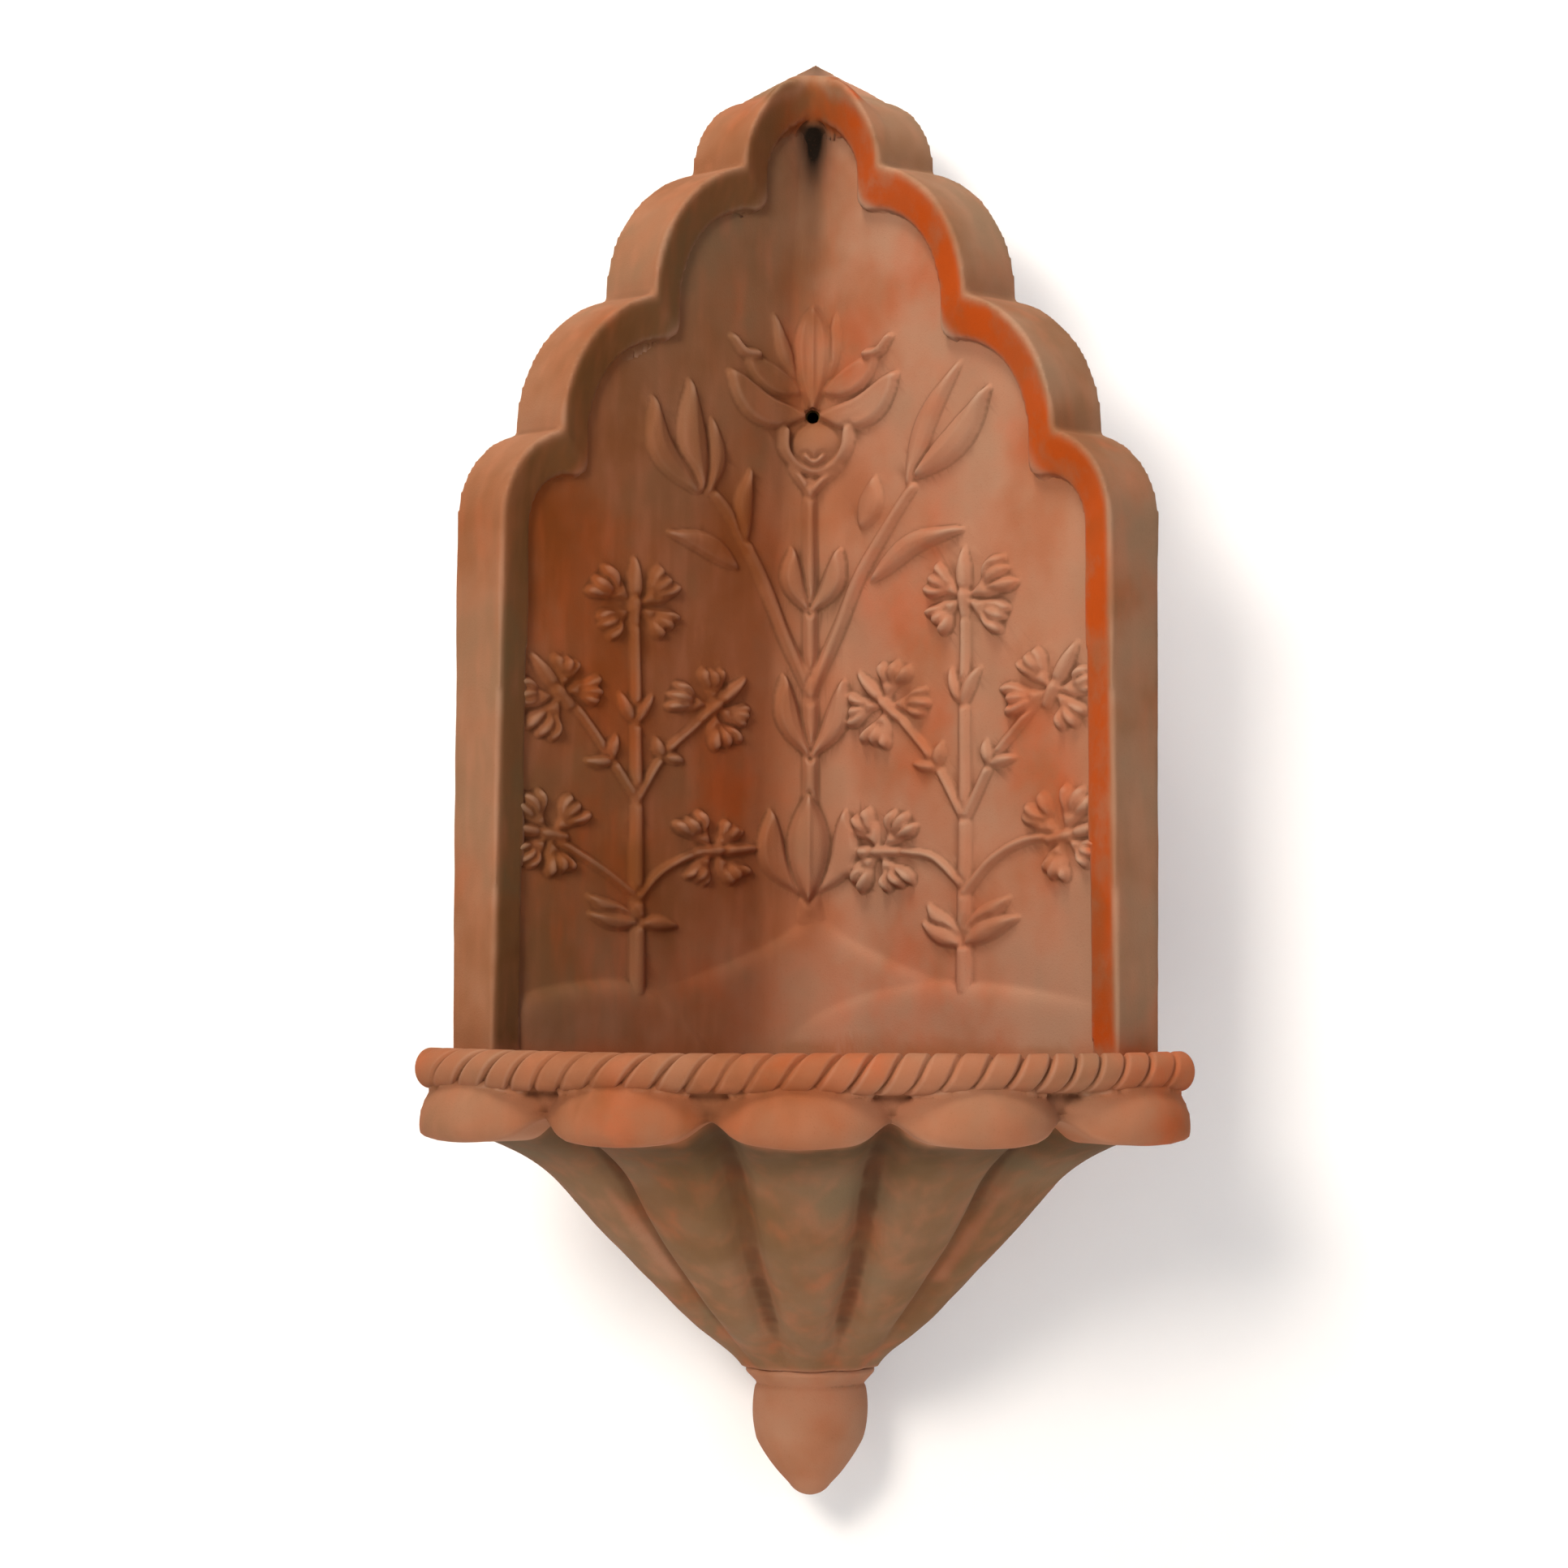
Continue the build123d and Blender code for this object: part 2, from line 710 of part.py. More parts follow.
def make_clips():
    low, high = hose_ends()
    clips = []
    for y, middle in ((pump_y, low + nipple_grip / 2), (hose_y, high - nipple_grip / 2)):
        z0 = middle - clip_width / 2
        z1 = middle + clip_width / 2
        band = rod_z(z0, z1, hose_radius + clip_thick, 0, y)
        band += block(-clip_width / 2, clip_width / 2, y - hose_radius - clip_thick * 3, y, z0, z1)
        clips.append(band - rod_z(z0 - 1, z1 + 1, hose_radius + bore_fit, 0, y))
    return Compound(children=clips)


def make_core():
    # A yoke beside the rotor with a leg above and a leg below it.
    x0 = joint_x + 4
    gap = rotor_radius + 1.4
    yoke_y = pump_y + pump_width / 2 - 9
    back = axle_y - rotor_radius * 0.6
    core = block(x0, x0 + core_depth, yoke_y, yoke_y + core_leg, axle_z - gap, axle_z + gap)
    for side in (-1, 1):
        z0 = axle_z + side * (gap + core_leg / 2)
        core += block(x0, x0 + core_depth, back, yoke_y + core_leg, z0 - core_leg / 2, z0 + core_leg / 2)
    return core


def make_coil():
    x0 = joint_x + 4
    gap = rotor_radius + 1.2
    yoke_y = pump_y + pump_width / 2 - 9
    around = block(x0 - 2.5, x0 + core_depth + 2.5, yoke_y - 2.5, yoke_y + core_leg + 2.5,
                   axle_z - gap + 0.4, axle_z + gap - 0.4)
    inner = block(x0 - fit, x0 + core_depth + fit, yoke_y - fit, yoke_y + core_leg + fit,
                  axle_z - gap, axle_z + gap)
    return around - inner


def foot_spots():
    spots = []
    for x in (joint_x + foot_radius, body_end - foot_radius):
        for y in (pump_y - pump_width / 2 + foot_inset, pump_y + pump_width / 2 - foot_inset):
            spots.append((x, y))
    return spots


def make_pump_body():
    half = pump_width / 2
    body = block(joint_x, body_end, pump_y - half, pump_y + half, pump_base, pump_top)
    body = fillet(body.edges().filter_by(Axis.X), 4)
    body -= rod_x(joint_x - 1, pocket_end, rotor_radius + 0.6, axle_y, axle_z)
    body -= rod_x(pocket_end - 1, pocket_end + bush_length, bush_radius + bore_fit, axle_y, axle_z)
    body -= make_core()
    body -= make_coil()
    for x, y in foot_spots():
        body -= rod_z(pump_base - 1, pump_base + 3 + bore_fit, 2 + bore_fit, x, y)
    gland_z = pump_top - gland_radius * 2
    return body - rod_x(body_end - 3, body_end + 1, gland_radius - 1 + bore_fit, pump_y, gland_z)


def make_gland():
    z = pump_top - gland_radius * 2
    gland = rod_x(body_end, body_end + gland_length, gland_radius, pump_y, z)
    gland += rod_x(body_end - 3, body_end + 1, gland_radius - 1, pump_y, z)
    return gland - rod_x(body_end - 2, body_end + gland_length + 1, gland_radius / 2, pump_y, z)


def make_feet():
    feet = []
    for x, y in foot_spots():
        cup = Pos(x, y, floor_level) * Cone(foot_radius, foot_radius * 0.5, foot_height,
                                            align=(Align.CENTER, Align.CENTER, Align.MIN))
        cup += rod_z(pump_base - 1, pump_base + 3, 2, x, y)
        feet.append(cup - rod_z(floor_level - 1, floor_level + 1.5, foot_radius * 0.7, x, y))
    return Compound(children=feet)


def make_cover():
    outer = chamber_radius + chamber_wall
    cover = rod_x(cover_end, joint_x, outer, axle_y, axle_z)
    cover += rod_z(axle_z, pump_top, outer * 0.4, 0, pump_y)
    cover += rod_z(axle_z, nipple_top, hose_bore - bore_fit, 0, pump_y)
    cover -= rod_x(cover_end + chamber_wall, joint_x + 1, chamber_radius, axle_y, axle_z)
    cover -= rod_z(axle_z, nipple_top + 1, spout_bore - 0.4, 0, pump_y)
    cover -= rod_x(joint_x - 1, joint_x + 1, outer - chamber_wall / 3, axle_y, axle_z)
    eye = rod_x(cover_end - 1, cover_end + chamber_wall + 1, chamber_radius * 0.55, axle_y, axle_z)
    arm_top = axle_z + chamber_radius * 0.7
    arm = block(cover_end, cover_end + chamber_wall, axle_y - 1, axle_y + 1, axle_z, arm_top)
    hub = rod_x(cover_end, cover_end + chamber_wall, bush_radius + 1.2, axle_y, axle_z)
    cover -= eye
    for turn in (0, 120, 240):
        cover += arm.rotate(Axis((0, axle_y, axle_z), (1, 0, 0)), turn)
    cover += hub
    return cover - rod_x(cover_end - 1, joint_x, bush_radius + bore_fit, axle_y, axle_z)


def make_seal():
    outer = chamber_radius + chamber_wall * 2 / 3
    ring = rod_x(joint_x - 1, joint_x, outer - bore_fit, axle_y, axle_z)
    return ring - rod_x(joint_x - 2, joint_x + 1, chamber_radius, axle_y, axle_z)


def make_shaft():
    return rod_x(cover_end, pocket_end + bush_length, shaft_radius, axle_y, axle_z)


def make_bushes():
    bushes = []
    for x0, x1 in ((cover_end, cover_end + chamber_wall), (pocket_end, pocket_end + bush_length)):
        ring = rod_x(x0, x1, bush_radius, axle_y, axle_z)
        bushes.append(ring - rod_x(x0 - 1, x1 + 1, shaft_radius + bore_fit, axle_y, axle_z))
    return Compound(children=bushes)


def make_impeller():
    hub = shaft_radius * 2
    front = cover_end + chamber_wall + 0.6
    impeller = rod_x(joint_x - 3, joint_x - 1.6, impeller_radius, axle_y, axle_z)
    impeller += rod_x(front, joint_x + rotor_length + 2, hub, axle_y, axle_z)
    blade_low = axle_z + hub - 1
    blade_high = axle_z + impeller_radius - 0.5
    blade = block(front + 0.4, joint_x - 2, axle_y - 0.7, axle_y + 0.7, blade_low, blade_high)
    for index in range(impeller_blades):
        impeller += blade.rotate(Axis((0, axle_y, axle_z), (1, 0, 0)), index * 360 / impeller_blades)
    return impeller - rod_x(front - 1, pocket_end, shaft_radius + run_fit, axle_y, axle_z)


def make_magnet():
    x0 = joint_x + 1
    magnet = rod_x(x0, x0 + rotor_length, rotor_radius, axle_y, axle_z)
    return magnet - rod_x(x0 - 1, x0 + rotor_length + 1, shaft_radius * 2 + bore_fit, axle_y, axle_z)


def make_strainer():
    half = pump_width / 2
    cap = block(strainer_end, joint_x, pump_y - half, pump_y + half, pump_base, pump_top)
    cap = fillet(cap.edges().filter_by(Axis.X), 4)
    inner = block(strainer_end + strainer_wall, joint_x + 1, pump_y - half + strainer_wall,
                  pump_y + half - strainer_wall, pump_base + strainer_wall, pump_top - strainer_wall)
    cap -= inner
    door = chamber_radius / 2
    cap -= block(-door, joint_x + 1, pump_y - door, pump_y + door, axle_z, pump_top + 1)
    pitch = (pump_width - 10) / strainer_slots
    for index in range(strainer_slots):
        y = pump_y + pitch * (index - (strainer_slots - 1) / 2)
        for z in (pump_base + 5, pump_top - 5):
            cap -= block(strainer_end - 1, strainer_end + strainer_wall + 1, y - 0.8, y + 0.8, z - 2.2, z + 2.2)
        x = strainer_end + 5
        cap -= block(x, x + 6, y - 0.8, y + 0.8, pump_base - 1, pump_base + strainer_wall + 1)
    cap -= rod_x(strainer_end - 1, strainer_end + strainer_wall + 1, 2 + run_fit, pump_y, axle_z)
    for turn in (45, 135):
        port_z = axle_z + dial_radius * 0.6
        port = rod_x(strainer_end - 1, strainer_end + strainer_wall + 1, 1.6, pump_y, port_z)
        cap -= port.rotate(Axis((0, pump_y, axle_z), (1, 0, 0)), turn)
        cap -= port.rotate(Axis((0, pump_y, axle_z), (1, 0, 0)), turn + 180)
    return cap


def make_dial():
    outside = strainer_end - 0.1
    dial = rod_x(outside - dial_thick, outside, dial_radius, pump_y, axle_z)
    dial += rod_x(outside - 1, strainer_end + strainer_wall + 1.5, 2, pump_y, axle_z)
    dial += rod_x(strainer_end + strainer_wall + 0.1, strainer_end + strainer_wall + 1.5, 3, pump_y, axle_z)
    dial += block(outside - dial_thick - 2.5, outside - 1, pump_y - 1.2, pump_y + 1.2,
                  axle_z - dial_radius + 2, axle_z + dial_radius - 2)
    for turn in (45, 135, 225, 315):
        port = rod_x(outside - dial_thick - 1, outside + 1, 1.6, pump_y, axle_z + dial_radius * 0.6)
        dial -= port.rotate(Axis((0, pump_y, axle_z), (1, 0, 0)), turn)
    return dial


def make_hanger():
    # A keyhole plate: the wall screw enters the round hole and drops into the slot.
    plane = right_wall.offset(hanger_sunk) * Pos(hanger_along(), hanger_height)
    plate = RectangleRounded(hanger_length, hanger_width, hanger_edge)
    low = -key_rise / 2
    plate -= Pos(0, low) * Circle(key_radius)
    plate -= Pos(0, low + key_rise / 2) * Rectangle(key_slot * 2, key_rise)
    plate -= Pos(0, low + key_rise) * Circle(key_slot)
    for along in (-hanger_pitch / 2, hanger_pitch / 2):
        plate -= Pos(along, 0) * Circle(screw_radius + slack)
    return extrude(plane * plate, hanger_thick)


def make_screws():
    screws = []
    for along, height in hanger_spots():
        place = right_wall.offset(hanger_sunk) * Pos(along, height)
        reach = hanger_thick + insert_length - 1
        stem = Cylinder(screw_radius, reach, align=(Align.CENTER, Align.CENTER, Align.MIN))
        upward = (Align.CENTER, Align.CENTER, Align.MIN)
        head = Pos(0, 0, -2.6) * Cylinder(screw_radius * 1.9, 2.6, align=upward)
        recess = Pos(0, 0, -2.6) * extrude(RegularPolygon(1.6, 6), 1.6)
        screw = place * (stem + head - recess)
        screws.append(screw)
        screws.append(mirrored(screw))
    return Compound(children=screws)


def make_inserts():
    inserts = []
    for along, height in hanger_spots():
        place = right_wall.offset(hanger_sunk + hanger_thick) * Pos(along, height)
        sleeve = Cylinder(insert_radius, insert_length, align=(Align.CENTER, Align.CENTER, Align.MIN))
        insert = place * (sleeve - Cylinder(screw_radius + bore_fit, insert_length * 3))
        inserts.append(insert)
        inserts.append(mirrored(insert))
    return Compound(children=inserts)


parts = {
    "niche": make_niche(),
    "basin": make_basin(),
    "finial": make_finial(),
    "bed_gasket": make_gasket(),
    "locating_pins": make_pins(),
    "finial_stud": make_stud(),
    "finial_washer": make_stud_washer(),
    "finial_nut": make_stud_nut(),
    "spout_elbow": make_elbow(),
    "spout_washer": make_spout_washer(),
    "delivery_hose": make_hose(),
    "hose_clips": make_clips(),
    "pump_body": make_pump_body(),
    "pump_cover": make_cover(),
    "chamber_seal": make_seal(),
    "stator_core": make_core(),
    "stator_coil": make_coil(),
    "rotor_shaft": make_shaft(),
    "shaft_bushes": make_bushes(),
    "impeller": make_impeller(),
    "rotor_magnet": make_magnet(),
    "intake_strainer": make_strainer(),
    "flow_dial": make_dial(),
    "suction_feet": make_feet(),
    "cable_gland": make_gland(),
    "right_hanger": make_hanger(),
    "left_hanger": mirrored(make_hanger()),
    "hanger_screws": make_screws(),
    "hanger_inserts": make_inserts(),
}

os.makedirs("parts", exist_ok=True)
for name, shape in parts.items():
    export_step(shape, f"parts/{name}.step")
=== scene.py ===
# Corner fountain in antiqued terracotta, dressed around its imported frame. Metres.
import bpy
import json
import math
import numpy as np
from mathutils import Matrix, kdtree


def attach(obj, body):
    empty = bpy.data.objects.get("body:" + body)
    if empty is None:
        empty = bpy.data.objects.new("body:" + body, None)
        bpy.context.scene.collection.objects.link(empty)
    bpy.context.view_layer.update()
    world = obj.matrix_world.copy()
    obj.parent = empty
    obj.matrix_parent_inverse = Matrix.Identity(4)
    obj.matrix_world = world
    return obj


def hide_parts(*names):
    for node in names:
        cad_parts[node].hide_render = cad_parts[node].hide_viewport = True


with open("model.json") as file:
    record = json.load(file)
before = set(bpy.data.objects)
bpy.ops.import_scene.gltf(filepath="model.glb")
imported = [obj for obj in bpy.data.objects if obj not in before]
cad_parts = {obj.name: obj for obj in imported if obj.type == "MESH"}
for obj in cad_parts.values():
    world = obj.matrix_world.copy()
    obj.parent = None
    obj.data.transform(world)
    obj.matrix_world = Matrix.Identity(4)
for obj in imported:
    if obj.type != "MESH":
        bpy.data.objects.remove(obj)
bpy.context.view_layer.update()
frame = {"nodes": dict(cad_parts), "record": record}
mm = 0.001
root2 = math.sqrt(2)


def linear(hexText):
    values = []
    for start in (0, 2, 4):
        part = int(hexText[start:start + 2], 16) / 255
        values.append(part / 12.92 if part <= 0.04045 else ((part + 0.055) / 1.055) ** 2.4)
    return (*values, 1.0)


def addNode(tree, kind, settings=None, values=None, links=None):
    node = tree.nodes.new(kind)
    for name, value in (settings or {}).items():
        setattr(node, name, value)
    for name, value in (values or {}).items():
        node.inputs[name].default_value = value
    for name, socket in (links or {}).items():
        tree.links.new(socket, node.inputs[name])
    return node


def startMaterial(name):
    material = bpy.data.materials.new(name)
    material.use_nodes = True
    material.node_tree.nodes.clear()
    return material, material.node_tree


def pick(piece):
    if bpy.context.object and bpy.context.object.mode != "OBJECT":
        bpy.ops.object.mode_set(mode="OBJECT")
    bpy.ops.object.select_all(action="DESELECT")
    piece.select_set(True)
    bpy.context.view_layer.objects.active = piece


def useModifier(piece, kind, **settings):
    pick(piece)
    modifier = piece.modifiers.new(kind.title(), kind)
    for name, value in settings.items():
        setattr(modifier, name, value)
    bpy.ops.object.modifier_apply(modifier=modifier.name)


def points(piece):
    flat = np.empty(len(piece.data.vertices) * 3, dtype=np.float32)
    piece.data.vertices.foreach_get("co", flat)
    return flat.reshape(-1, 3).astype(float)


def normals(piece):
    flat = np.empty(len(piece.data.vertices) * 3, dtype=np.float32)
    piece.data.vertex_normals.foreach_get("vector", flat)
    return flat.reshape(-1, 3).astype(float)


def setPoints(piece, places):
    piece.data.vertices.foreach_set("co", places.astype(np.float32).ravel())
    piece.data.update()


def triangles(piece):
    return sum(len(face.vertices) - 2 for face in piece.data.polygons)


def thinTo(piece, limit):
    # flat stretches give up their small faces first
    count = triangles(piece)
    if count > limit:
        useModifier(piece, "DECIMATE", ratio=limit / count)


# Camera, fitted to the photograph's view of a right-angled corner
cameraSet = {"place": (0.0563, -2.601, 0.077), "turn": 1.65, "tilt": 2.34, "roll": 0.21,
             "lens": 94.34, "sensor": 36}


def makeCamera():
    data = bpy.data.cameras.new("camera")
    data.lens = cameraSet["lens"]
    data.sensor_width = cameraSet["sensor"]
    camera = bpy.data.objects.new("camera", data)
    bpy.context.scene.collection.objects.link(camera)
    turn = Matrix.Rotation(math.radians(cameraSet["turn"]), 4, "Z")
    tilt = Matrix.Rotation(math.radians(90 + cameraSet["tilt"]), 4, "X")
    roll = Matrix.Rotation(math.radians(cameraSet["roll"]), 4, "Z")
    camera.matrix_world = Matrix.Translation(cameraSet["place"]) @ turn @ tilt @ roll
    bpy.context.scene.camera = camera


makeCamera()
print("camera set")


# Pale stage: a white wall behind that takes the soft shadow, and a floor well below
stageSet = {"wallBack": 0.015, "wallMiddle": 0.2, "floorFront": -2, "floorDown": -0.95, "size": 9.0,
            "glow": 0.05, "glowTint": "D6E2FF", "paint": "F4F3F1", "room": "E9ECF2", "roomLight": 0.34}


def paintedStage():
    # matt white paint; it shows from its front only, so that views from behind see the object
    material, tree = startMaterial("matt_white_paint")
    path = addNode(tree, "ShaderNodeLightPath")
    seen = addNode(tree, "ShaderNodeMath", {"operation": "MAXIMUM"},
                   links={0: path.outputs["Is Camera Ray"], 1: path.outputs["Is Glossy Ray"]})
    strength = addNode(tree, "ShaderNodeMath", {"operation": "MULTIPLY"}, {1: stageSet["glow"]},
                       {0: seen.outputs[0]})
    paint = addNode(tree, "ShaderNodeBsdfDiffuse", values={"Color": linear(stageSet["paint"])})
    glow = addNode(tree, "ShaderNodeEmission", values={"Color": linear(stageSet["glowTint"])},
                   links={"Strength": strength.outputs[0]})
    both = addNode(tree, "ShaderNodeAddShader", links={0: paint.outputs[0], 1: glow.outputs[0]})
    clear = addNode(tree, "ShaderNodeBsdfTransparent")
    side = addNode(tree, "ShaderNodeNewGeometry")
    shown = addNode(tree, "ShaderNodeMixShader", links={0: side.outputs["Backfacing"], 1: both.outputs[0],
                                                        2: clear.outputs[0]})
    addNode(tree, "ShaderNodeOutputMaterial", links={"Surface": shown.outputs[0]})
    return material


def makeStage():
    paint = paintedStage()
    size = stageSet["size"]
    sheets = (("wall", (0, stageSet["wallBack"], stageSet["wallMiddle"]), 90),
              ("floor", (0, stageSet["floorFront"], stageSet["floorDown"]), 0))
    for name, place, tilt in sheets:
        bpy.ops.object.select_all(action="DESELECT")
        bpy.ops.mesh.primitive_plane_add(size=size, location=place, rotation=(math.radians(tilt), 0, 0))
        sheet = bpy.context.object
        sheet.name = name
        sheet.data.materials.append(paint)


def makeLights():
    # each lamp: name, place, what it is aimed at, width in metres, watts and tint
    lamps = (("keySoftbox", (-1.0, -3.0, 1.2), (0.0, -0.1, 0.1), 0.9, 72, "FFF6EC"),
             ("topSkim", (-0.55, -0.95, 2.5), (0.0, -0.15, 0.15), 0.7, 46, "FFFAF2"),
             ("frontFill", (1.6, -3.0, 0.2), (0.0, -0.1, 0.1), 2.0, 16, "F4F6FF"))
    for name, place, aim, size, power, tint in lamps:
        data = bpy.data.lights.new(name, "AREA")
        data.size = size
        data.energy = power
        data.color = linear(tint)[:3]
        lamp = bpy.data.objects.new(name, data)
        bpy.context.scene.collection.objects.link(lamp)
        gap = Matrix.Translation(place).translation - Matrix.Translation(aim).translation
        lamp.matrix_world = Matrix.Translation(place) @ gap.to_track_quat("Z", "Y").to_matrix().to_4x4()
    world = bpy.data.worlds.new("studio")
    bpy.context.scene.world = world
    world.use_nodes = True
    tree = world.node_tree
    tree.nodes.clear()
    path = addNode(tree, "ShaderNodeLightPath")
    room = addNode(tree, "ShaderNodeBackground",
                   values={"Color": linear(stageSet["room"]), "Strength": stageSet["roomLight"]})
    white = addNode(tree, "ShaderNodeBackground", values={"Color": (1, 1, 1, 1), "Strength": 1.0})
    mixed = addNode(tree, "ShaderNodeMixShader", links={0: path.outputs["Is Camera Ray"], 1: room.outputs[0],
                                                        2: white.outputs[0]})
    addNode(tree, "ShaderNodeOutputWorld", links={"Surface": mixed.outputs[0]})
    bpy.context.scene.view_settings.view_transform = "Standard"


makeStage()
makeLights()
print("stage and lights set")


# Clay bodies: the cast pieces with softened arrises and a hand-pressed surface
claySet = {
    "voxel": {"niche": 0.0019, "basin": 0.0019, "finial": 0.0013},
    "limit": {"niche": 170000, "basin": 190000, "finial": 40000},
    "weld": 2e-5, "smooth": {"factor": 0.5, "iterations": 2},
    "waveSize": 0.045, "waveHeight": 0.0014,      # slow swell left by the press and the hand
    "darker": 0.74,                               # share of the colours as seen, under the bright lamps
}
# the arch in millimetres: foils are run and rise of each round of its edge, from the spring up
archSet = {"reach": 291, "spring": 327, "foot": 3, "height": 638, "fieldFoot": 23, "fieldTop": 38,
           "coveFoot": 60, "coveTop": 8, "tipSlope": 1.2, "levels": 900,
           "foils": ((44, 56), (70.5, 87.5), (70.5, 87), (40, 48))}
# the top of the arch, where it grows fuller and its rim runs round the corner, in millimetres
tipSet = {"run": 66, "fuller": 6.5, "more": 2.5, "rise": (560, 595), "front": (-3, 2),
          "frontRise": (572, 590), "round": 12, "roundShare": 0.8, "broad": 8, "broadMiddle": 15,
          "broadWidth": 13, "easeWidth": 9, "easeRounds": 40}
# the rim round the recess, in millimetres
rimSet = {"width": 20, "rise": 12, "more": 6.5, "ease": 6, "band": 60, "mitre": 6, "facing": -0.15,
          "leastInward": 0.1, "behind": 1, "foot": (6, 10), "rounds": 2}


def ramp(values, start, end):
    return np.clip((values - start) / (end - start), 0, 1)


def spot(values, middle, width):
    return np.exp(-((values - middle) / width) ** 2)


def archReach(height):
    # how far the arch's edge reaches along the wall at each height, all in millimetres
    reach = np.full_like(height, archSet["reach"])
    edge, level = archSet["reach"], archSet["spring"]
    for run, rise in archSet["foils"]:
        radius = (run * run + rise * rise) / (2 * run)
        above = np.clip(height - level, 0, rise)
        reach = np.where(height >= level, edge - radius + np.sqrt(radius * radius - above * above), reach)
        edge -= run
        level += rise
    return np.where(height >= level, np.maximum(edge - (height - level) * archSet["tipSlope"], 0), reach)


def fieldAt(height):
    share = (height - archSet["foot"]) / archSet["height"]
    return archSet["fieldFoot"] + (archSet["fieldTop"] - archSet["fieldFoot"]) * share


def layOnNiche(x, z, rise):
    # from the flat drawing to the two walls of the niche and the cove between them
    share = (z - archSet["foot"]) / archSet["height"]
    field = fieldAt(z)
    cove = archSet["coveFoot"] + (archSet["coveTop"] - archSet["coveFoot"]) * share
    crease = -root2 * field
    inCove = np.abs(x) < cove / root2
    bow = np.sqrt(np.maximum(cove ** 2 - x ** 2, 0))
    y = np.where(inCove, crease - root2 * cove + bow, crease - np.abs(x))
    facingX = np.where(inCove, -x / cove, -np.sign(x) / root2)
    facingY = np.where(inCove, -bow / cove, -1 / root2)
    return np.stack([x + facingX * rise, y + facingY * rise, z], axis=1)


def apexLift(along, height):
    # the ogee of the arch's top stands straighter and fuller than in the plain solid
    away = along / tipSet["run"]
    share = np.clip(away, 0, 1)
    grown = tipSet["fuller"] * 4 * share * (1 - share) + tipSet["more"] * np.clip(2 - away, 0, 1)
    return grown * ramp(height, *tipSet["rise"])


def edgeGap(along, height):
    # distance from the arch's edge in the plane of the wall
    levels = np.linspace(0, archSet["height"] + archSet["foot"], archSet["levels"])
    reaches = archReach(levels)
    tree = kdtree.KDTree(len(levels))
    for index, place in enumerate(zip(reaches, levels + apexLift(reaches, levels))):
        tree.insert((*place, 0), index)
    tree.balance()
    return np.array([tree.find((*place, 0))[2] for place in zip(along, height)])


# grooves, flare and notches under the bowl: turns in degrees, levels in millimetres, other sizes in metres
fluteSet = {"turns": (-29.25, -9.75, 9.75, 29.25), "width": 0.0095, "depth": 0.0065,
            "upperEnd": (-34, -46), "lowerEnd": (-174, -148), "fullReach": 0.14, "leastShare": 0.45,
            "flare": 0.034, "flareTop": -36, "flareFrom": -35, "flareFall": 6.5, "flareRise": 0.26,
            "notch": 0.010, "notchWidth": 0.012, "notchTop": (-14, -30), "notchFoot": (-46, -36),
            "notchReach": 0.2, "notchUp": 0.3, "notchInward": -0.7}
# the back walls inside the bowl and the cove between them, in millimetres
bowlSet = {"backWall": 35, "coveMore": 13, "floor": -120, "leastAway": 0.1, "leastToRoom": 0.5}


def grooveGap(x, y):
    # distance round the bowl from the nearest groove between two lobes, and from the corner line
    flat = np.hypot(x, y)
    turn = np.degrees(np.arctan2(x, -y))
    aside = np.min([np.abs(turn - angle) for angle in fluteSet["turns"]], axis=0)
    return np.radians(aside) * flat, flat


def outerSide(piece):
    # the bowl and corbel as seen from the room, without the back walls inside the bowl
    places, facing = points(piece) / mm, normals(piece)
    x, y, z = places.T
    away = (facing[:, :2] * places[:, :2]).sum(1) > bowlSet["leastAway"] * np.hypot(x, y)
    toRoom = -(np.sign(x) * facing[:, 0] + facing[:, 1]) / root2
    off = -(np.abs(x) + y) / root2
    nearBack = off < bowlSet["backWall"] + bowlSet["coveMore"]
    inBowl = (z > bowlSet["floor"]) & nearBack & (toRoom > bowlSet["leastToRoom"])
    return away & ~inBowl


def neighbours(piece):
    ends = np.empty(len(piece.data.edges) * 2, dtype=np.int32)
    piece.data.edges.foreach_get("vertices", ends)
    return ends[0::2], ends[1::2], np.bincount(ends, minlength=len(piece.data.vertices)).clip(1)


def soften(values, links, rounds):
    first, second, degree = links
    for _ in range(rounds):
        total = np.bincount(first, values[second], len(values))
        total = total + np.bincount(second, values[first], len(values))
        values = (values + total / degree) / 2
    return values


def store(piece, name, values):
    layer = piece.data.attributes.new(name, "FLOAT", "POINT")
    layer.data.foreach_set("value", values.astype(np.float32))


# the rounds of smoothing that each kind of wear and painted light is measured against, and the rise in metres
# that is full
wearAndPaintedLightSet = {"proud": (4, 0.0006), "bulge": (30, 0.0035)}


def markWearAndPaintedLight(piece):
    # standing arrises are rubbed pale, partly a painted highlight, and hollows keep the brown wash, partly
    # painted shade, so both are kept as attributes
    links = neighbours(piece)
    facing = normals(piece)
    start = points(piece)
    for name, (rounds, full) in wearAndPaintedLightSet.items():
        smooth = np.stack([soften(start[:, axis], links, rounds) for axis in range(3)], axis=1)
        rise = ((start - smooth) * facing).sum(1) / full
        store(piece, name, soften(np.clip(rise, -1, 1), links, 1))
